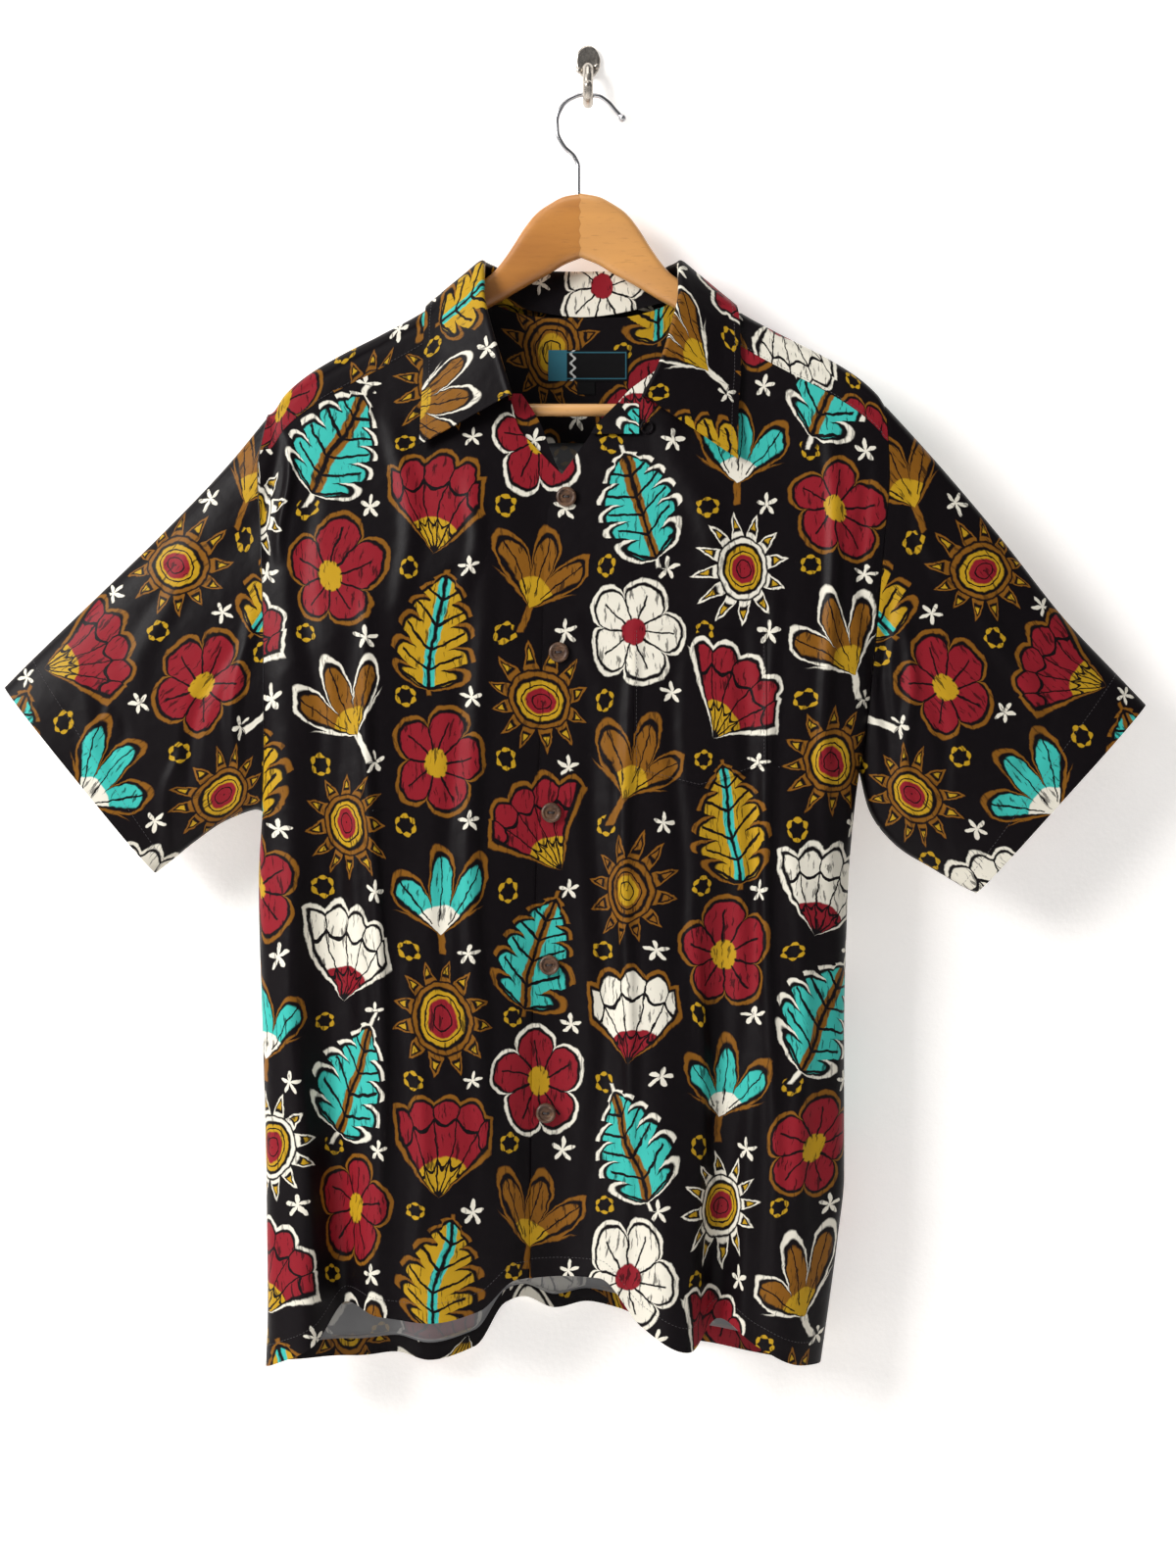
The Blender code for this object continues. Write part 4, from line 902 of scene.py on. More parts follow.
def run_along(points, axis=0):
    """Distance from the first point along an axis of a grid, as the sum of its steps."""
    steps = np.linalg.norm(np.diff(points, axis=axis), axis=-1)
    return np.insert(np.cumsum(steps, axis=axis), 0, 0.0, axis=axis)


def read_along(run, vectors, at):
    """Vectors given along a run, read at other places along it."""
    return np.stack([np.interp(at, run, vectors[:, k]) for k in range(3)], axis=-1)


def cloth_row(start, end, surface, count, hem, hem_share):
    """One row of a panel: straight in the front view, with even steps along the cloth.

    Gives the points and the direction along the row at each of them.
    """
    share = 0.5 - 0.5 * np.cos(np.linspace(0, math.pi, ROW_STEPS))
    x = start[0] + (end[0] - start[0]) * share
    z = start[1] + (end[1] - start[1]) * share
    line = read(hem, "x", "z", start[0]) * (1 - share) + read(hem, "x", "z", end[0]) * share
    z = z + hem_share ** 3 * (read(hem, "x", "z", x) - line)
    points = np.stack([x, surface(x, z), z], axis=1)
    run = run_along(points)
    stations = np.linspace(0, run[-1], count + 1)
    return read_along(run, points, stations), unit(read_along(run, heading_along(points), stations))


def side_levels(side, top, hem):
    """Heights of a panel's rows at the side: down the armhole, then down the side seam."""
    arm = np.linspace(top, ARM_LOW[side], ARM_ROWS + 1)
    foot = read(hem, "x", "z", side_x(side, SIDE_FOOT))
    return np.concatenate([arm, np.linspace(ARM_LOW[side], foot, BODY_ROWS + 1)[1:]])


def panel(rows):
    """Stack rows into a grid of points and a grid of outward directions."""
    points, headings = (np.array(part) for part in zip(*rows))
    return points, unit(np.cross(heading_along(points), headings))


def yoke_columns():
    """Places across of the yoke's columns, close together at the armholes and the neck's corners."""
    share = np.linspace(0, 1, SHOULDER_COLUMNS + 1)
    share = (share + 1 - np.cos(share * math.pi / 2)) / 2
    neck = CENTRE + NECK_HALF * np.sin(np.linspace(-1, 1, NECK_COLUMNS + 1) * math.pi / 2)
    arms = [side_x(side, ARM_TOP[side]) for side in (-1, 1)]
    left = arms[0] + (neck[0] - arms[0]) * share
    right = arms[1] + (neck[-1] - arms[1]) * share
    return np.concatenate([left, neck[1:-1], right[::-1]])


def shoulder_row(side, surface):
    """The top row of a front: the shoulder seam, on the chords of the yoke's edge."""
    columns = yoke_columns()
    x = columns[:SHOULDER_COLUMNS + 1] if side < 0 else columns[-SHOULDER_COLUMNS - 1:]
    z = ridge(x) - YOKE_DROP
    arm = 0 if side < 0 else -1
    x[arm] = side_x(side, z[arm])
    corners = np.stack([x, surface(x, z), z], axis=1)
    points = np.repeat(corners, 2, axis=0)[:-1]
    points[1::2] = (corners[:-1] + corners[1:]) / 2
    return points, heading_along(points)


def front_grid(side, edge, surface):
    """Rows of one front from its shoulder seam to its hem."""
    corner_x = side_x(side, ridge(side_x(side, ARM_TOP[side])) - YOKE_DROP)
    outer_z = side_levels(side, ridge(corner_x) - YOKE_DROP, FRONT_HEM)
    neck_z = ridge(CENTRE + side * NECK_HALF) - YOKE_DROP
    inner_foot = read(FRONT_HEM, "x", "z", read(edge, "z", "x", EDGE_FOOT))
    inner_z = np.concatenate([np.linspace(neck_z, ARM_LOW[side], ARM_ROWS + 1),
                              np.linspace(ARM_LOW[side], inner_foot, BODY_ROWS + 1)[1:]])
    rows = [shoulder_row(side, surface)]
    for k in range(1, len(inner_z)):
        inner = (read(edge, "z", "x", inner_z[k]), inner_z[k])
        outer = (side_x(side, outer_z[k]), outer_z[k])
        ends = (outer, inner) if side < 0 else (inner, outer)
        share = max(0.0, (k - ARM_ROWS) / BODY_ROWS)
        rows.append(cloth_row(*ends, surface, FRONT_COLUMNS, FRONT_HEM, share))
    return panel(rows)


def inset(points, top=SEAM, bottom=0.0, first=SEAM, last=SEAM):
    """Draw a grid's edges in by the seam gaps."""
    points = points.copy()
    points[0] += unit(points[1] - points[0]) * top
    points[-1] += unit(points[-2] - points[-1]) * bottom
    points[:, 0] += unit(points[:, 1] - points[:, 0]) * first
    points[:, -1] += unit(points[:, -2] - points[:, -1]) * last
    return points


def cloth_place(x, z, surface, x_start, z_start):
    """The cloth's own coordinates in mm: lengths along the surface from a line across and down."""
    share = np.linspace(0, 1, PLACE_STEPS)
    xs = x_start[..., None] + (x - x_start)[..., None] * share
    steps = np.hypot(np.diff(xs), np.diff(surface(xs, np.broadcast_to(z[..., None], xs.shape))))
    u = x_start + np.sign(x - x_start) * steps.sum(axis=-1)
    zs = z_start[..., None] + (z - z_start)[..., None] * share
    steps = np.hypot(np.diff(zs), np.diff(surface(np.broadcast_to(x[..., None], zs.shape), zs)))
    return np.stack([u, z_start - steps.sum(axis=-1)], axis=-1)


def rise_to_hem(points):
    """Mean distance along the cloth from each row to the last one."""
    return np.linalg.norm(np.diff(points, axis=0), axis=2).mean(axis=1)[::-1].cumsum()[::-1]


def cloth_shell(name, outer, outward, place, thick=CLOTH, keep=None, ring=False, lined=False,
                materials=None, hem=0.0):
    """A closed sheet: a grid of points, the same grid moved in by the thickness, strips at its edges.

    The outer face has the print, the inner one the wrong side. keep leaves cells out. A hem of a
    given height is turned in at the last row: twice as thick, and the print shows inside it.
    """
    rows, columns = outer.shape[:2]
    is_hem = np.append(rise_to_hem(outer) <= hem, hem > 0)
    inner = outer - outward * thick * (1 + is_hem[:, None, None])
    inner_place = np.where(is_hem[:, None, None], place[-1] + (place[-1] - place) * (-1, 1), place)
    width = columns if ring else columns - 1
    cells = np.ones((rows - 1, width), bool) if keep is None else keep
    i, j = np.nonzero(cells)
    right = (j + 1) % columns
    quads = np.stack([i * columns + j, i * columns + right, (i + 1) * columns + right,
                      (i + 1) * columns + j], axis=-1)
    starts = quads.ravel()
    ends = np.roll(quads, -1, axis=1).ravel()
    size = rows * columns
    forward = starts * size + ends
    lone = ~np.isin(forward, ends * size + starts)
    a = starts[lone]
    b = ends[lone]
    strips = np.stack([a, b, b + size, a + size], axis=-1)
    faces = np.concatenate([quads[:, ::-1], quads + size, strips])
    slots = np.concatenate([np.zeros(len(quads)), 1 - is_hem[i], np.zeros(len(strips))])
    points = np.concatenate([outer.reshape(-1, 3), inner.reshape(-1, 3)])
    normal = np.cross(points[faces[0, 1]] - points[faces[0, 0]], points[faces[0, 2]] - points[faces[0, 0]])
    if (normal * outward[i[0], j[0]]).sum() < 0:
        faces = faces[:, ::-1]
    used, place_of = np.unique(faces, return_inverse=True)
    pairs = np.concatenate([place.reshape(-1, 2), inner_place.reshape(-1, 2)])[used] * MM
    sides = materials or (right_side, right_side if lined else wrong_side)
    made = mesh_object(name, points[used], place_of.reshape(faces.shape), sides, slots, pairs, CREASE_ANGLE)
    return made


def sheet_area(points, keep=None, ring=False):
    """Area of a grid in square metres, as triangles."""
    grid = np.concatenate([points, points[:, :1]], axis=1) if ring else points
    a = grid[:-1, :-1]
    diagonal = grid[1:, 1:] - a
    one = np.linalg.norm(np.cross(grid[:-1, 1:] - a, diagonal), axis=2)
    two = np.linalg.norm(np.cross(grid[1:, :-1] - a, diagonal), axis=2)
    areas = (one + two) / 2
    return float((areas if keep is None else areas * keep).sum()) * MM * MM


def stitches(name, path, outward):
    """A row of machine stitches along a path on the cloth, one mesh: each a rounded grain of thread.

    Ring k of a stitch lies at s along it, its radius is sqrt(1 - s^2), its middle arches by 1 - s^2.
    """
    run = run_along(path)
    count = max(2, int(run[-1] / STITCH_PITCH))
    ring = np.array(STITCH_RINGS)
    at = ((np.arange(count) + 0.5) * run[-1] / count)[:, None] + ring * STITCH_LENGTH / 2
    points = read_along(run, path, at)
    normal = unit(read_along(run, outward, at))
    heading = unit(points[:, -1:] - points[:, :1])
    side_way = unit(np.cross(normal, heading))[:, :, None]
    arch = THREAD_RADIUS * 0.7 * (1 - ring ** 2)[None, :, None] - STITCH_SINK
    swell = THREAD_RADIUS * np.sqrt(1 - (ring * 0.97) ** 2)[None, :, None, None]
    turn = full_turn(STITCH_SIDES)[:, None]
    rings = (points + normal * arch)[:, :, None] + swell * (
        np.cos(turn) * normal[:, :, None] + np.sin(turn) * side_way)
    i, j, k = np.meshgrid(np.arange(count), np.arange(len(ring) - 1), np.arange(STITCH_SIDES),
                          indexing="ij")
    size = len(ring) * STITCH_SIDES
    base = i * size + j * STITCH_SIDES
    beside = (k + 1) % STITCH_SIDES
    quads = np.stack([base + k, base + beside, base + STITCH_SIDES + beside, base + STITCH_SIDES + k], -1)
    around = np.arange(STITCH_SIDES)
    starts = np.arange(count)[:, None] * size
    caps = np.concatenate([starts + np.roll(around[::-1], 1), starts + size - STITCH_SIDES + around])
    made = mesh_object(name, rings, quads.reshape(-1, 4).tolist() + caps.tolist(), [thread])
    return made


def along_edge(points, outward, shift):
    """A path on a grid at a distance in mm from its first row, with the outward directions there."""
    run = run_along(points[:EDGE_ROWS])
    step = np.argmax(run > shift, axis=0)
    column = np.arange(points.shape[1])
    share = (shift - run[step - 1, column]) / (run[step, column] - run[step - 1, column])
    share = share[:, None]
    return points[step - 1, column] * (1 - share) + points[step, column] * share, outward[step, column]


def hem_row(points, hem):
    """Index of the first row inside a hem turned in at the last row."""
    return int(np.argmax(rise_to_hem(points) <= hem))


thread, thread_tree = new_material("sewing_thread", Sheen_Weight=0.3, Roughness=0.6)
feed(thread_tree, Base_Color=blend(thread_tree, surface_noise(thread_tree, 900.0, 2.0),
                                   (0.012, 0.009, 0.012, 1), (0.050, 0.040, 0.045, 1)))


def front_place(points, edge, surface):
    """Print coordinates of a front: across from its button edge, down from its shoulder seam."""
    x = points[..., 0]
    z = points[..., 2]
    start = read(edge, "z", "x", np.minimum(z, EDGE_SQUARE))
    return cloth_place(x, z, surface, start, np.maximum(ridge(x) - YOKE_DROP, z))


front_points = {}
for side, name, edge, surface in ((-1, "front_right", RIGHT_EDGE, right_front_y),
                                  (1, "front_left", LEFT_EDGE, front_y)):
    points, outward = front_grid(side, edge, surface)
    front_points[side] = points
    place = front_place(points, edge, surface)
    front = cloth_shell(f"{name}_cloth", inset(points), outward, place, hem=BODY_HEM)
    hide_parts(name)
    # Both fronts are sewn along the same row of their grids, the right one's
    row = hem_row(front_points[-1], BODY_HEM)
    hem_line = stitches(f"{name}_stitches", points[row], outward[row])
    sheet_area(points)

# ==============================
# Back: one panel from the yoke seam to the hem, flat against the wall side, with a few long folds.
BACK_YOKE_Z = -270.0
BACK_YOKE_SAG = 30.0
BACK_YOKE_HALF = 230.0
BACK_CREASE_SHARE = 0.8
BACK_SHIFT = 40.0
BACK_HEM = table(
    "x z",
    (-238, -961), (-178, -962), (-143, -959), (-119, -964), (-86, -957), (-63, -925), (-48, -920),
    (-25, -928), (0, -923), (24, -927), (59, -948), (90, -954), (147, -961), (173, -960),
)
BACK_FOLDS = table(
    "low top z_top half out",
    (-190, -180, -520, 30, 7), (-119, -112, -600, 34, -12), (-62, -60, -640, 34, 6),
    (28, 22, -600, 38, -9), (96, 90, -560, 36, 6), (150, 150, -520, 24, -7),
)
BACK_CREASES = table(
    "x_top z_top x_low z_low half out",
    (-170, -320, -150, -640, 12, 3.0), (-60, -330, -72, -760, 14, -2.7), (-20, -300, -8, -620, 10, 2.4),
    (60, -320, 74, -700, 13, 2.8), (130, -330, 118, -560, 11, -2.4), (176, -340, 168, -620, 9, 2.5),
    (-205, -360, -212, -600, 9, -2.2), (-100, -560, -96, -900, 8, 2.7), (44, -600, 40, -900, 8, 2.4),
)


def back_y(x, z):
    """Outer face of the back."""
    fine = (ripple(x + BACK_SHIFT, z) + crease_height(BACK_CREASES, x, z)) * quiet(x, z)
    return bow(x) + fullness(x, z, BACK_DEPTH) + fold_height(BACK_FOLDS, x, z) + fine * BACK_CREASE_SHARE


def back_seam(x):
    """Height of the seam between yoke and back."""
    return BACK_YOKE_Z - BACK_YOKE_SAG * ((x - CENTRE) / BACK_YOKE_HALF) ** 2


def back_grid():
    """Rows of the back from the yoke seam to the hem, from the left side to the right."""
    x = yoke_columns()
    z = back_seam(x)
    for side, arm in ((-1, 0), (1, -1)):
        x[arm] = side_x(side, z[arm])
    seam = np.stack([x, back_y(x, z), z], axis=1)
    rows = [(seam, heading_along(seam))]
    levels = [side_levels(side, back_seam(side_x(side, -300)), BACK_HEM) for side in (-1, 1)]
    for k in range(1, len(levels[0])):
        ends = [(side_x(side, levels[i][k]), levels[i][k]) for i, side in enumerate((-1, 1))]
        share = max(0.0, (k - ARM_ROWS) / BODY_ROWS)
        rows.append(cloth_row(*ends, back_y, BACK_COLUMNS, BACK_HEM, share))
    points, inward = panel(rows)
    return points, -inward


back_points, back_out = back_grid()
back_place = cloth_place(back_points[..., 0], back_points[..., 2], back_y,
                         np.full(back_points.shape[:2], CENTRE),
                         np.maximum(back_seam(back_points[..., 0]), back_points[..., 2]))
back = cloth_shell("back_cloth", inset(back_points), back_out, back_place * (-1, 1), hem=BODY_HEM)
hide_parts("back")
row = hem_row(back_points, BODY_HEM)
hem_line = stitches("back_stitches", back_points[row], back_out[row])
sheet_area(back_points)

# ==============================
# Yoke: two layers over the shoulders, seamed to the fronts and the back. The outer one shows on
# the shoulders, the inner one inside the neck, right side inwards.
TURN_STEPS = 10
DROP_STEPS = 7
BACK_STEPS = 30
NOTCH_STEP = 0.4
YOKE_CUT = 150
LINING_CUT = (60, 35)
LINING_DRAWN_IN = 1.5
SLOPE_STEP = 0.5
YOKE_STITCH = 1.6
INNER_GAP = 0.9
BACK_NECK = table(
    "across z",
    (0, -179), (30, -178.5), (50, -175), (70, -167), (86, -154),
)


def over_directions(x, below, side):
    """Outward directions of the yoke at a distance below the ridge, in front of or behind it."""
    def place(at_x, drop):
        z = ridge(at_x) - drop
        y = front_y(at_x, z) if side < 0 else back_y(at_x, z)
        return np.stack([at_x, np.where(drop < 1e-6, bow(at_x), y), z], axis=1)

    step = SLOPE_STEP
    across = place(x + step, below) - place(x - step, below)
    fall = place(x, below + step) - place(x, np.maximum(below - step, 0))
    fall = -fall if side < 0 else fall
    fall = np.where((below < 1e-6)[:, None], (0.0, 1.0, 0.0), fall)
    return unit(np.cross(across, fall))


def yoke_grid():
    """Rows at distances below the ridge, in front of it, on it and behind it; the neck is left out."""
    x = yoke_columns()
    round_steps = SHOULDER_ROUND * (1 - np.cos(np.linspace(0, math.pi / 2, TURN_STEPS + 1)))
    front_below = np.concatenate([np.linspace(YOKE_DROP, SHOULDER_ROUND, DROP_STEPS)[:-1],
                                  round_steps[:0:-1]])
    ridge_row = len(front_below)
    is_neck = np.abs(x - CENTRE) < NECK_HALF + 0.01
    start = np.where(is_neck, ridge(x) - read(BACK_NECK, "across", "z", np.abs(x - CENTRE)), 0)
    end = ridge(x) - back_seam(x)
    turn_end = np.maximum(start, SHOULDER_ROUND)
    rows = [(-1, np.full_like(x, below)) for below in front_below]
    rows.append((0, start))
    for step in round_steps[1:]:
        drop = (turn_end - start) * step / SHOULDER_ROUND + NOTCH_STEP * (start > 1) * step
        rows.append((1, start + drop))
    last = rows[-1][1]
    for k in range(1, BACK_STEPS + 1):
        rows.append((1, last + (end - last) * k / BACK_STEPS))
    grid = np.zeros((len(rows), len(x), 3))
    for k, (side, below) in enumerate(rows):
        z = ridge(x) - below
        y = front_y(x, z) if side < 0 else back_y(x, z)
        grid[k] = np.stack([x, np.where(below < 1e-6, bow(x), y), z], axis=1)
    for arm, side in ((0, -1), (-1, 1)):
        z = grid[:, arm, 2]
        arm_x = side_x(side, np.minimum(z, ARM_TOP[side]))
        arm_y = np.where(np.arange(len(rows)) < ridge_row, front_y(arm_x, z), back_y(arm_x, z))
        arm_y[ridge_row] = grid[ridge_row, arm, 1]
        grid[:, arm, 0] = arm_x
        grid[:, arm, 1] = arm_y
    keep = np.ones((len(rows) - 1, len(x) - 1), bool)
    keep[:ridge_row, SHOULDER_COLUMNS:SHOULDER_COLUMNS + NECK_COLUMNS] = False
    outward = np.array([over_directions(grid[k, :, 0], below, side)
                        for k, (side, below) in enumerate(rows)])
    return grid, outward, keep, ridge_row


yoke_points, yoke_out, yoke_cells, ridge_row = yoke_grid()
across_place = run_along(yoke_points[ridge_row])
across_place -= np.interp(CENTRE, yoke_points[ridge_row, :, 0], across_place)
down_place = run_along(yoke_points)
down_place -= down_place[ridge_row]
yoke_place = np.stack([np.broadcast_to(across_place, down_place.shape), -down_place - YOKE_CUT], axis=-1)

yoke = cloth_shell("yoke_outer_cloth", inset(yoke_points, bottom=SEAM), yoke_out, yoke_place,
                   keep=yoke_cells)
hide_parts("yoke_outer")
shoulder = SHOULDER_COLUMNS + 1
yoke_seams = {"right": np.s_[:, :shoulder], "left": np.s_[:, -shoulder:], "back": np.s_[::-1]}
yoke_stitches = [stitches(f"yoke_stitches_{side}", *along_edge(yoke_points[cut], yoke_out[cut], YOKE_STITCH))
                 for side, cut in yoke_seams.items()]
sheet_area(yoke_points, yoke_cells)

lining_points = inset(yoke_points - yoke_out * (CLOTH + INNER_GAP), top=1.0, bottom=-2.5,
                      first=LINING_DRAWN_IN, last=LINING_DRAWN_IN)
lining = cloth_shell("yoke_inner_cloth", lining_points - yoke_out * CLOTH, -yoke_out,
                     yoke_place + LINING_CUT, keep=yoke_cells)
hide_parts("yoke_inner")
sheet_area(lining_points, yoke_cells)

# ==============================
# Sleeves: one tube each, set into the armhole, cut with the grain along the arm, with a turned hem.
SLEEVE_STEPS = 90
CUFF_HEM = 24.0
ROOT_OUT = 0.35
OVAL_ALONG = 0.8
OVAL_DEPTH = 0.75
RIPPLE_SHARE = 0.8
RIPPLE_START = 12
SLEEVE_A = table(
    "share top_x top_z low_x low_z front back middle",
    (0.0, -234, -255, -240, -552, 22, 12, -60), (0.2, -268, -296, -246, -550, 22, 13, -58),
    (0.45, -320, -350, -268, -558, 21, 13, -56), (0.7, -370, -398, -292, -574, 20, 13, -54),
    (0.9, -412, -438, -312, -590, 19, 14, -52), (1.0, -433, -459, -321, -597, 19, 14, -52),
)
SLEEVE_B = table(
    "share top_x top_z low_x low_z front back middle",
    (0.0, 220, -250, 201, -520, 22, 12, -60), (0.2, 252, -285, 209, -551, 22, 13, -58),
    (0.45, 304, -346, 229, -577, 21, 13, -56), (0.7, 354, -409, 256, -594, 20, 13, -54),
    (0.9, 394, -451, 278, -607, 19, 14, -52), (1.0, 414, -472, 288, -612, 19, 14, -52),
)
SLEEVE_CREASES = table(
    "x_top z_top x_low z_low half out",
    (-250, -395, -262, -560, 9, 3.6), (-262, -420, -310, -560, 10, -3.1),
    (-340, -480, -352, -520, 5, -2.2), (-352, -470, -366, -508, 4, 1.8),
    (-390, -440, -345, -540, 12, 2.2), (-290, -320, -330, -470, 14, 2.0),
    (-300, -500, -318, -590, 7, 2.8), (222, -380, 216, -545, 8, -3.9), (232, -400, 238, -570, 8, 3.4),
    (250, -440, 268, -590, 9, -2.2), (285, -360, 330, -500, 14, 2.1), (350, -420, 310, -560, 12, -1.8),
    (240, -290, 262, -400, 10, 2.0),
)


def sleeve_grid(side, rows):
    """A tube from the armhole to the cuff.

    The root ring follows the edges of the front, the yoke and the back, so the seam closes. Each
    ring moves from the root's form to a flat oval between the upper and the lower fold.
    """
    column = 0 if side < 0 else -1
    front_edge = front_points[side][1:ARM_ROWS + 1, column]
    root = np.concatenate([front_edge[::-1], yoke_points[:, column], back_points[1:ARM_ROWS, column]])
    crest = ARM_ROWS + ridge_row
    travel = np.linalg.norm(np.roll(root, -1, axis=0) - root, axis=1)
    up = np.concatenate([[0], np.cumsum(travel[:crest])])
    down = np.concatenate([[0], np.cumsum(travel[crest:])])
    turn = np.concatenate([math.pi * (1 - up / up[-1]), -math.pi * down[1:-1] / down[-1]])
    shares = np.linspace(0, 1, SLEEVE_STEPS + 1)
    grid = np.zeros((len(shares), len(root), 3))
    top_z = root[crest, 2]
    low_z = root[0, 2]
    root_along = (top_z - root[:, 2]) / (top_z - low_z)
    root_x = root[:, 0] - (root[crest, 0] + (root[0, 0] - root[crest, 0]) * root_along)
    oval_along = 0.5 - 0.5 * np.sign(np.cos(turn)) * np.abs(np.cos(turn)) ** OVAL_ALONG
    oval_depth = np.sign(np.sin(turn)) * np.abs(np.sin(turn)) ** OVAL_DEPTH
    for k, share in enumerate(shares):
        mix = share * share * (3 - 2 * share)
        along = root_along * (1 - mix) + oval_along * mix
        line = {name: read(rows, "share", name, share) for name in rows if name != "share"}
        x = line["top_x"] + (line["low_x"] - line["top_x"]) * along + root_x * (1 - share) ** 2
        z = line["top_z"] + (line["low_z"] - line["top_z"]) * along
        oval = line["middle"] - np.where(oval_depth > 0, line["front"], line["back"]) * oval_depth
        y = root[:, 1] * (1 - mix) + oval * mix
        fine = (crease_height(SLEEVE_CREASES, x, z) + RIPPLE_SHARE * ripple(x, z)) * np.abs(oval_depth)
        y = y - np.sign(oval_depth) * fine * min(1.0, share * RIPPLE_START)
        grid[k] = np.stack([x, y, z], axis=1)
    grid[0] = root
    around = unit(np.roll(grid, -1, axis=1) - np.roll(grid, 1, axis=1))
    down_arm = unit(np.gradient(grid, axis=0))
    outward = unit(np.cross(around, down_arm))
    outward *= np.sign((outward * (grid - grid.mean(axis=1, keepdims=True))).sum())
    outward[0, :, 0] = 0
    outward[0] = unit(outward[0])
    grid[0] += np.array([side, 0, -ROOT_OUT]) * ROOT_OUT
    return grid, outward, crest


def sleeve_place(grid, crest):
    """Print coordinates of a sleeve: round it from its crest, and along its axis from the shoulder."""
    axis = unit(np.array([1, 0, 1]) * (grid[-1].mean(axis=0) - grid[0].mean(axis=0)))
    across = np.array([-axis[2], 0, axis[0]])
    steps = np.roll(grid, -1, axis=1) - grid
    lengths = np.hypot(steps @ across, steps[..., 1])
    u = np.concatenate([np.zeros((len(grid), 1)), np.cumsum(lengths, axis=1)[:, :-1]], axis=1)
    return np.stack([u - u[:, crest:crest + 1], -(grid @ axis)], axis=-1)


for side, name, rows in ((-1, "sleeve_right", SLEEVE_A), (1, "sleeve_left", SLEEVE_B)):
    grid, outward, crest = sleeve_grid(side, rows)
    place = sleeve_place(grid, crest)
    sleeve = cloth_shell(f"{name}_cloth", grid, outward, place, ring=True, hem=CUFF_HEM)
    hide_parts(name)
    row = hem_row(grid, CUFF_HEM)
    round_arm = np.append(np.arange(grid.shape[1]), 0)
    hem_line = stitches(f"{name}_stitches", grid[row, round_arm], outward[row, round_arm])
    sheet_area(grid, ring=True)

# ==============================
# Collar: a one-piece camp collar of two interfaced layers: a stand sewn to the neck, a soft roll,
# and a fall with pointed fronts that lies on the yoke.
COLLAR_CLOTH = 1.4
COLLAR_STEPS = 220
COLLAR_PROFILE = 64
COLLAR_STATIONS = (0, 0.28, 0.42, 0.5)
COLLAR_BACK = 0.139
COLLAR_END = 0.94
COLLAR_LIFT = 4.0
COLLAR_BEHIND = 2.0
SEWN_GAP = 0.6
SOFT_STEPS = 15
ROLL_HALF = 2.9
ROLL_LEG = 3.4
COLLAR_STITCH = 5.5
COLLAR_CUT = (20, -400)
COLLAR = table(
    "place sewn_x sewn_z roll_x roll_y roll_z edge_x edge_y edge_z",
    (0.00, -57, -247, -56, -79, -245, -124, -78, -282),
    (0.10, -64, -230, -64, -74, -218, -123, -70, -251),
    (0.20, -76, -205, -72, -66, -190, -122, -61, -222),
    (0.29, -90, -181, -77, -55, -163, -122, -54, -196),
    (0.36, -91, -154, -77, -36, -139.5, -120, -38, -172),
    (0.385, -86, -158, -72, -24, -140, -115, -26, -178),
    (0.42, -75, -165, -64, -17.5, -142, -104, -16, -190), (0.50, -5, -179, -5, -14, -143, -5, -8, -203),
    (0.58, 65, -165, 54, -17.5, -142, 94, -16, -190), (0.615, 76, -158, 62, -24, -140, 105, -24, -178),
    (0.64, 81, -154, 67, -36, -139.5, 110, -38, -172), (0.71, 80, -181, 67, -55, -163, 113, -54, -196),
    (0.80, 67, -205, 62, -66, -190, 113, -61, -224), (0.90, 54, -226, 52, -74, -222, 111, -70, -256),
    (1.00, 40, -245, 40, -80, -246, 110, -79, -292),
)


def lifted(points, margin):
    """Points moved off the garment where they are nearer to it than a margin."""
    x, y, z = np.moveaxis(points, -1, 0)
    middle = bow(x)
    crown = ridge(x) - SHOULDER_ROUND
    ahead = np.minimum(y, front_y(x, z) - margin)
    behind = np.maximum(y, back_y(x, z) + margin)
    beside = np.where(y < middle, ahead, behind)
    off = np.stack([y - middle, z - crown], axis=-1)
    length = np.linalg.norm(off, axis=-1)
    push = np.maximum(1, (SHOULDER_ROUND + margin) / np.maximum(length, 1e-6))
    above = z > crown
    new_y = np.where(above, middle + off[..., 0] * push, beside)
    new_z = np.where(above, crown + off[..., 1] * push, z)
    return np.stack([x, new_y, new_z], axis=-1)


def resampled(grid, count):
    """Each row of a grid as a smooth curve with even steps along it."""
    place = np.arange(grid.shape[1])
    at = np.linspace(0, grid.shape[1] - 1, count * 4)
    rows = []
    for row in grid:
        fine = np.stack([smooth(place, row[:, k], at) for k in range(3)], axis=1)
        run = run_along(fine)
        rows.append(read_along(run, fine, np.linspace(0, run[-1], count)))
    return np.array(rows)


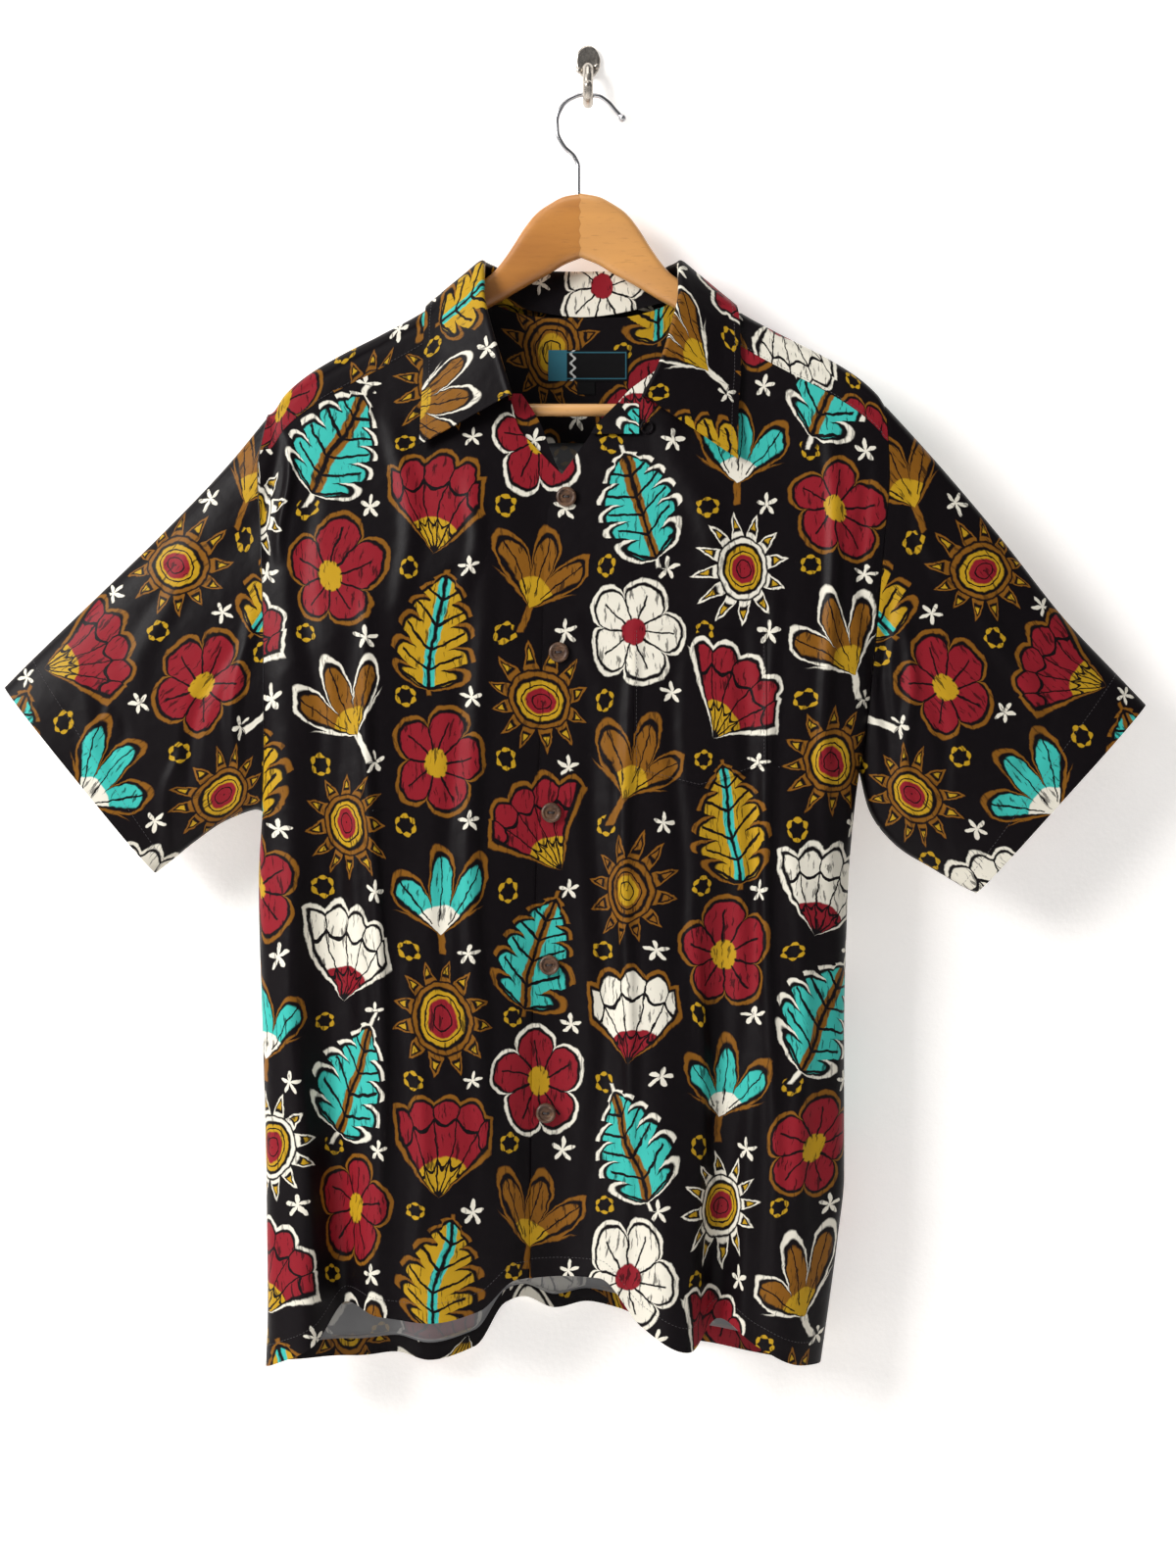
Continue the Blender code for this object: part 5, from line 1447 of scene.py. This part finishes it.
def collar_grid():
    """Stand, roll and fall: a profile carried round the neck."""
    steps = np.linspace(0, 1, COLLAR_STEPS // 2 + 1)
    half_way = np.interp(steps, (0, 0.25, 0.75, 1), COLLAR_STATIONS)
    at = np.concatenate([half_way, 1 - half_way[-2::-1]])
    line = {name: read(COLLAR, "place", name, at) for name in COLLAR if name != "place"}
    behind = back_y(line["sewn_x"], line["sewn_z"]) - COLLAR_BEHIND
    ahead = front_y(line["sewn_x"], line["sewn_z"])
    sewn_y = np.where(np.abs(at - 0.5) < COLLAR_BACK, behind, ahead)
    soft = np.hanning(SOFT_STEPS)
    sewn_y = np.convolve(np.pad(sewn_y, SOFT_STEPS // 2, mode="edge"), soft / soft.sum(), mode="valid")
    sewn = np.stack([line["sewn_x"], sewn_y, line["sewn_z"]], axis=1)
    roll, edge = (np.stack([line[f"{name}_{axis}"] for axis in "xyz"], axis=1) for name in ("roll", "edge"))
    leg = unit(unit(sewn - roll) + unit(edge - roll))
    across = np.cross(unit(np.gradient(roll, axis=0)), leg)
    across *= np.sign((across * (edge - sewn)).sum(axis=1, keepdims=True))
    across = unit(across)
    stand_top = roll + leg * ROLL_LEG - across * ROLL_HALF
    fall_top = roll + leg * ROLL_LEG + across * ROLL_HALF
    clear = np.where(at > COLLAR_END, COLLAR_CLOTH, SEWN_GAP)
    sewn = sewn + unit(stand_top - sewn) * clear[:, None]
    profile = [sewn, sewn * 0.45 + stand_top * 0.55, stand_top,
               roll + leg * ROLL_LEG * 0.3 - across * ROLL_HALF * 0.7, roll,
               roll + leg * ROLL_LEG * 0.3 + across * ROLL_HALF * 0.7, fall_top]
    for share in (0.25, 0.5, 0.75, 1.0):
        profile.append(lifted(fall_top + (edge - fall_top) * share, COLLAR_LIFT))
    grid = resampled(np.stack(profile, axis=1), COLLAR_PROFILE)
    along = unit(np.gradient(grid, axis=0))
    down = unit(np.gradient(grid, axis=1))
    outward = unit(np.cross(down, along))
    outward *= np.sign((outward[:, 0] * -across).sum())
    return grid, outward


collar_points, collar_out = collar_grid()
run_round = run_along(collar_points[:, COLLAR_PROFILE // 2])[:, None]
run_down = run_along(collar_points, axis=1)
collar_place = np.stack([np.broadcast_to(run_round - run_round[-1] / 2, run_down.shape), -run_down],
                        axis=-1) + COLLAR_CUT
collar = cloth_shell("collar_cloth", collar_points, collar_out, collar_place, thick=COLLAR_CLOTH,
                     lined=True)
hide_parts("collar")
fall_points, fall_out = (part.transpose(1, 0, 2)[::-1] for part in (collar_points, collar_out))
collar_stitches = stitches("collar_stitches", *along_edge(fall_points, fall_out, COLLAR_STITCH))
sheet_area(collar_points)

# ==============================
# Facings: the fronts' turned-in edges that show in the V: the right one behind its front, the left
# one rolled out as a small lapel.
FACING_CLOTH = 0.7
FACING_UNDER = 9.0
FACING_SINK = 1.8
FACING_CUT = (170, 40)
LAPEL_CUT = (90, -60)
LAPEL_CURL = 2.2
LAPEL_ROLL = 0.35
FACING_ROWS = 50
LAPEL_ROWS = 40
LAPEL_TOP = -250.0
LAPEL_LOW = -273.0
LAPEL_RIGHT = 37.5
LAPEL_LIFT = 1.3
RIGHT_FACING = table(
    "z x",
    (-301, -21), (-284, -28), (-268, -33.5), (-255, -40.5), (-242, -49),
)


def laid_grid(left, right, levels, columns, surface, lift):
    """A flat piece laid on a surface: rows at the levels, from a left to a right line."""
    share = np.linspace(0, 1, columns + 1)
    x = left[:, None] * (1 - share) + right[:, None] * share
    z = levels if levels.ndim == 2 else np.repeat(levels[:, None], columns + 1, axis=1)
    points = np.stack([x, surface(x, z) + lift, z], axis=2)
    outward = unit(np.cross(unit(np.gradient(points, axis=0)), unit(np.gradient(points, axis=1))))
    return points, outward


levels = np.linspace(RIGHT_FACING["z"][-1], RIGHT_FACING["z"][0], FACING_ROWS)
open_edge = read(RIGHT_FACING, "z", "x", levels)
hidden_edge = read(RIGHT_EDGE, "z", "x", levels) - FACING_UNDER
points, outward = laid_grid(hidden_edge, open_edge, levels, 24, right_front_y, FACING_SINK)
facing = cloth_shell("facing_right_cloth", points, outward, points[..., ::2] + FACING_CUT,
                     thick=FACING_CLOTH, lined=True)
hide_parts("facing_right")

levels = np.linspace(LAPEL_TOP, LAPEL_LOW, LAPEL_ROWS)
roll_edge = read(LEFT_EDGE, "z", "x", levels) + LAPEL_ROLL
raised = LAPEL_LIFT + LAPEL_CURL * np.linspace(0, 1, LAPEL_ROWS)[:, None] ** 2
points, outward = laid_grid(roll_edge, np.full_like(roll_edge, LAPEL_RIGHT), levels, LAPEL_ROWS,
                            front_y, -raised)
lapel = cloth_shell("facing_left_cloth", points, outward, points[..., ::2] * (-1, 1) + LAPEL_CUT,
                    thick=FACING_CLOTH, lined=True)
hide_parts("facing_left")

# ==============================
# Chest pocket: a patch with a pointed foot, turned in all round, cut so that its print runs on
# from the front under it, sewn 1.6 mm from its sides and foot.
POCKET_TOP = -418.0
POCKET_CLOTH = 1.0
POCKET_ROWS = 73
POCKET_COLUMNS = 61
POCKET_LIFT = 1.2
POCKET_BULGE = 1.1
POCKET_STITCH = 1.6
POCKET = table(
    "x z",
    (34, -521), (82, -533), (130, -517),
)

pocket_x = np.linspace(POCKET["x"][0], POCKET["x"][-1], POCKET_COLUMNS)
pocket_low = np.interp(pocket_x, POCKET["x"], POCKET["z"])
down = np.linspace(0, 1, POCKET_ROWS)[:, None]
pocket_z = POCKET_TOP + (pocket_low - POCKET_TOP) * down
swell = np.sin(down * math.pi) * np.sin(np.linspace(0, math.pi, POCKET_COLUMNS)) * (1 - down * 0.6)
points, outward = laid_grid(np.full(POCKET_ROWS, pocket_x[0]), np.full(POCKET_ROWS, pocket_x[-1]),
                            pocket_z, POCKET_COLUMNS - 1, front_y, -POCKET_LIFT - POCKET_BULGE * swell)
pocket = cloth_shell("pocket_cloth", points, outward, front_place(points, LEFT_EDGE, front_y),
                     thick=POCKET_CLOTH, lined=True)
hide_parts("pocket")
for side in ("left", "foot", "right"):
    grid, directions = (part if side == "foot" else part.transpose(1, 0, 2) for part in (points, outward))
    order = 1 if side == "left" else -1
    stitches(f"pocket_stitches_{side}", *along_edge(grid[::order], directions[::order], POCKET_STITCH))

# ==============================
# Woven label and size tag inside the yoke: satin ribbon, ends turned in, sewn to the inner yoke.
# Both are bare of any text; the label has a teal end, a pale wave and a border woven in.
LABEL_CLOTH = 0.6
LABEL_GAP = 0.15
LABEL_TURN = 0.4
LABEL_ROWS = 28
TEAL = (0.05, 0.22, 0.30, 1)
PALE = (0.75, 0.76, 0.74, 1)
BLACK = (0.006, 0.006, 0.007, 1)
RIB = 0.4
TEAL_END = -16.0
WAVE_X = -11.5
WAVE_REACH = 1.5
WAVE_HALF = 1.0
BORDER_HALF = (28.6, 9.8)
LABELS = table(
    "name left right top low",
    ("label", -30.4, 30.4, -203.3, -226.3), ("size_tag", -8.5, 5.5, -227.0, -236.5),
)


def label_material(name, colour, stripe):
    """Satin ribbon: fine ribs across. A stripe adds a teal end, a pale wave and a border line.

    The wave is a sine about a line across the ribbon. The border runs round a rectangle: there the
    larger of |x| less the difference of its half sizes, and |y|, is its half height.
    """
    material, tree = new_material(name, Roughness=0.6, Specular_IOR_Level=0.10)
    x, y = two_parts(tree, add(tree, "ShaderNodeUVMap", {"uv_map": "cloth"}).outputs[0])
    ribs = y.do("PINGPONG", RIB * MM)
    if stripe:
        colour = blend(tree, within(x, TEAL_END * MM, 0.0002), colour, TEAL)
        off_wave = abs(x - WAVE_X * MM + (y * 900.0).do("SINE") * (WAVE_REACH * MM))
        colour = blend(tree, within(off_wave, WAVE_HALF * MM, 0.0002), colour, PALE)
        beyond = (abs(x) - (BORDER_HALF[0] - BORDER_HALF[1]) * MM).do("MAXIMUM", abs(y))
        off_border = abs(beyond - BORDER_HALF[1] * MM)
        colour = blend(tree, within(off_border, 0.00045, 0.00015) * 0.8, colour, TEAL)
    shade = ribs.do("MULTIPLY_ADD", 900.0, 0.6) * 0.5
    feed(tree, Base_Color=blend(tree, shade, colour, (0.0, 0.0, 0.0, 1)))
    bumped(tree, ribs, 0.3)
    return material


def yoke_inside(x, z):
    """The neck side of the inner yoke."""
    return back_y(x, z) - 2 * CLOTH - INNER_GAP - LABEL_GAP


for name, left, right, top, low in zip(*LABELS.values()):
    ribbon = label_material(f"{name}_ribbon", BLACK, name == "label")
    levels = np.linspace(top, low, LABEL_ROWS)
    points, outward = laid_grid(np.full(LABEL_ROWS, left + LABEL_TURN),
                                np.full(LABEL_ROWS, right - LABEL_TURN), levels, 2 * LABEL_ROWS,
                                yoke_inside, -LABEL_CLOTH)
    middle = ((left + right) / 2, (top + low) / 2)
    tag = cloth_shell(f"{name}_ribbon_piece", points, outward, points[..., ::2] - middle,
                      thick=LABEL_CLOTH - 0.1, materials=(ribbon, ribbon))
    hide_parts(name)

# ==============================
# Buttons: five turned from coconut shell, 14.8 mm, dished, with two holes and crossed thread.
BUTTON_RADIUS = 7.4
BUTTON_THICK = 2.8
BUTTON_SIDES = 96
BUTTON_LIFT = 0.35
# Shares of the radius: edge and slope of the dish, start of the rolled rim; dish depth, rim height
DISH_RADIUS = 0.62
DISH_SLOPE = 0.12
RIM_RADIUS = 0.82
DISH_HEIGHT = 0.62
RIM_HEIGHT = 0.35
HOLE_HEIGHT = 0.12
HOLE_X = 1.75
HOLE_RADIUS = 0.85
HOLE_SLOPE = 0.3
STRANDS = (-0.42, -0.14, 0.14, 0.42)
STRAND_RADIUS = 0.2
STRAND_ARCH = 0.75
BUTTONS = table(
    "x z",
    (-16, -320), (-21.5, -434.5), (-27, -552), (-28.5, -664), (-31, -773),
)


def shell_material():
    """Coconut shell: dark brown with pale flecks and fine streaks, dull from wear."""
    material, tree = new_material("coconut_shell", Coat_Weight=0.12)
    where = add(tree, "ShaderNodeTexCoord").outputs["Object"]
    streaks = add(tree, "ShaderNodeMapping", Vector=where, Scale=(260, 260, 1400)).outputs[0]
    fleck = between(tree, surface_noise(tree, 1.0, 3.0, streaks), 0.56, 0.72)
    cloud = between(tree, surface_noise(tree, 150.0, 3.0), 0.4, 0.7)
    colour = blend(tree, cloud, (0.050, 0.022, 0.011, 1), (0.115, 0.055, 0.026, 1))
    feed(tree, Base_Color=blend(tree, calc(tree, "MULTIPLY", fleck, 0.5), colour, (0.30, 0.19, 0.11, 1)),
         Roughness=calc(tree, "MULTIPLY_ADD", fleck, 0.25, 0.42))
    bumped(tree, fleck, 0.00006)
    return material


coconut = shell_material()


def button_body(name, x, seat, z):
    """A disc with a rolled rim, a dished middle and two holes, as a grid round the middle.

    Depth at a radius: rim height outside, a cosine step down to the dish inside it; near a hole's
    centre the depth falls through the button.
    """
    turn = full_turn(BUTTON_SIDES)
    dish = np.linspace(0.02, DISH_RADIUS, 44)
    radii = np.concatenate([dish, [0.66, 0.7, 0.76, 0.82, 0.9, 0.96, 0.99, 1.0]])
    flat_x = np.outer(radii, np.cos(turn)) * BUTTON_RADIUS
    flat_z = np.outer(radii, np.sin(turn)) * BUTTON_RADIUS
    step = np.clip((radii[:, None] - DISH_RADIUS) / DISH_SLOPE, 0, 1)
    rim = np.sqrt(np.clip(1 - np.clip((radii[:, None] - RIM_RADIUS) / (1 - RIM_RADIUS), 0, 1) ** 2, 0, 1))
    height = BUTTON_THICK * (DISH_HEIGHT + (1 - DISH_HEIGHT) * (0.5 - 0.5 * np.cos(step * math.pi)))
    height = height * (RIM_HEIGHT + (1 - RIM_HEIGHT) * rim)
    from_hole = np.hypot(np.abs(flat_x) - HOLE_X, flat_z)
    open_share = np.clip((from_hole - HOLE_RADIUS) / HOLE_SLOPE, 0, 1)
    height = height * (HOLE_HEIGHT + (1 - HOLE_HEIGHT) * open_share)
    face = np.stack([flat_x, -height, flat_z], axis=2)
    back_side = face[::-7] * (1, 0, 1)
    return closed_loft(name, np.concatenate([face, back_side]) + (x, seat, z), coconut, crease=45)


for k, (x, z) in enumerate(zip(*BUTTONS.values())):
    ring = np.linspace(0, 2 * math.pi, 25)
    around_x = x + BUTTON_RADIUS * np.cos(ring)
    around_z = z + BUTTON_RADIUS * np.sin(ring)
    seat = min(front_y(around_x, around_z).min(), float(front_y(x, z))) - BUTTON_LIFT
    body = button_body(f"button_shell_{k + 1}", x, seat, z)
    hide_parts(f"button_{k + 1}")
    arc = np.linspace(0, math.pi, 14)
    for number, row in enumerate(STRANDS, start=1):
        path = np.stack([x - HOLE_X * np.cos(arc), seat - BUTTON_THICK * 0.55 - STRAND_ARCH * np.sin(arc),
                         z + row - 0.5 * row * np.sin(arc)], axis=1)
        strand = closed_loft(f"button_thread_{k + 1}_{number}",
                             rings_along(path, STRAND_RADIUS, (0, 0, 1), 8), thread)
        strand.parent = body

# ==============================
# Collar loop: a thin cord of rolled cloth, its ends caught under the left lapel.
LOOP_X = 43.5
LOOP_Z = -268.0
LOOP_RADIUS = 4.2
LOOP_CORD = 0.95
LOOP_LIFT = 2.05
LOOP_STEPS = 64
CORD_SIDES = 16

loop_y = float(front_y(LOOP_X, LOOP_Z)) - LOOP_LIFT
turn = full_turn(LOOP_STEPS)[:, None]
tube = full_turn(CORD_SIDES)[None, :]
reach_out = LOOP_RADIUS + LOOP_CORD * np.cos(tube)
loop_rings = np.stack([LOOP_X + np.cos(turn) * reach_out,
                       np.broadcast_to(loop_y - LOOP_CORD * np.sin(tube), (LOOP_STEPS, CORD_SIDES)),
                       LOOP_Z + np.sin(turn) * reach_out], axis=2)
i, j = np.meshgrid(np.arange(LOOP_STEPS), np.arange(CORD_SIDES), indexing="ij")
here = i * CORD_SIDES
ahead = (i + 1) % LOOP_STEPS * CORD_SIDES
beside = (j + 1) % CORD_SIDES
loop_faces = np.stack([here + j, ahead + j, ahead + beside, here + beside], axis=-1).reshape(-1, 4)
loop = mesh_object("collar_loop_cord", loop_rings, loop_faces, [right_side],
                   uv=loop_rings[..., ::2] * MM)
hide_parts("collar_loop")

# ==============================
# Setting and light: a pale painted wall behind the hook and a floor below, both only the stage; one
# large soft window from the upper left, a fill from the right, a weak lamp from above, and a window
# behind the wall, which doesn't shade it and lights the shirt's back where that is looked at.
WALL_COLOUR = (0.90, 0.885, 0.87, 1)
WALL_GLOW = 0.38


def painted_plaster(name, colour, one_sided=False):
    """Matt roller-painted plaster: a faint orange-peel and slow uneven tone.

    A one-sided one can't be seen from behind, so the back of the shirt can be looked at.
    """
    material, tree = new_material(name, Roughness=0.75)
    cloud = between(tree, surface_noise(tree, 2.2, 4.0), 0.3, 0.7)
    shade = tuple(part * 0.95 for part in colour[:3]) + (1,)
    feed(tree, Base_Color=blend(tree, calc(tree, "MULTIPLY", cloud, 0.35), colour, shade))
    bumped(tree, surface_noise(tree, 260.0, 3.0), 0.0004, 0.5)
    if one_sided:
        feed(tree, Emission_Color=colour, Emission_Strength=WALL_GLOW)
        mixer = add(tree, "ShaderNodeMixShader")
        sources = (add(tree, "ShaderNodeNewGeometry").outputs["Backfacing"],
                   tree.nodes["Principled BSDF"].outputs[0],
                   add(tree, "ShaderNodeBsdfTransparent").outputs[0])
        for socket, source in zip(mixer.inputs, sources):
            wire(tree, socket, source)
        wire(tree, tree.nodes["Material Output"].inputs["Surface"], mixer.outputs[0])
    return material


def stage_plane(name, corners, material):
    """One flat rectangle of the stage."""
    mesh = bpy.data.meshes.new(name)
    mesh.from_pydata(corners, [], [(0, 1, 2, 3)])
    mesh.materials.append(material)
    made = bpy.data.objects.new(name, mesh)
    bpy.context.scene.collection.objects.link(made)
    return made


FLOOR_Z = -1.45
STAGE_HALF = 4.0
STAGE_TOP = 1.6
WALL_Y = 0.0006

low_corners = [(-STAGE_HALF, WALL_Y, FLOOR_Z), (STAGE_HALF, WALL_Y, FLOOR_Z)]
top_corners = [(STAGE_HALF, WALL_Y, STAGE_TOP), (-STAGE_HALF, WALL_Y, STAGE_TOP)]
wall_paint = painted_plaster("wall_paint", WALL_COLOUR, one_sided=True)
stage_wall = stage_plane("stage_wall", low_corners + top_corners, wall_paint)
stage_wall.visible_shadow = False
floor_corners = [(STAGE_HALF * x, STAGE_HALF * y, FLOOR_Z) for x, y in ((-1, -1), (1, -1), (1, 1), (-1, 1))]
stage_plane("stage_floor", floor_corners, painted_plaster("floor_paint", WALL_COLOUR))


def soft_light(name, place, aim, size, power, colour):
    """A rectangular area light turned towards a point."""
    data = bpy.data.lights.new(name, "AREA")
    data.shape = "RECTANGLE"
    data.size = size[0]
    data.size_y = size[1]
    data.energy = power
    data.color = colour
    made = bpy.data.objects.new(name, data)
    made.location = place
    from_aim = mathutils.Vector(place) - mathutils.Vector(aim)
    made.rotation_euler = from_aim.to_track_quat("Z", "Y").to_euler()
    made.visible_camera = False
    bpy.context.scene.collection.objects.link(made)


soft_light("window", (-2.0, -1.8, 0.6), (0, 0, -0.5), (1.1, 1.3), 94, (1.0, 0.985, 0.965))
soft_light("fill", (1.9, -2.2, -0.2), (0, 0, -0.7), (2.4, 2.4), 4.5, (0.985, 0.985, 1.0))
soft_light("lamp", (-0.3, -0.9, 1.5), (0, 0, -0.4), (1.2, 0.8), 9, (1.0, 0.98, 0.95))
soft_light("back_window", (0.9, 2.6, 0.9), (0, 0, -0.5), (2.0, 2.0), 55, (1.0, 0.99, 0.97))
world = bpy.data.worlds.new("room")
world.use_nodes = True
room_light = world.node_tree.nodes["Background"].inputs
room_light["Color"].default_value = (0.97, 0.97, 1.0, 1)
room_light["Strength"].default_value = 0.14
bpy.context.scene.world = world

bpy.context.scene.view_settings.view_transform = "Standard"
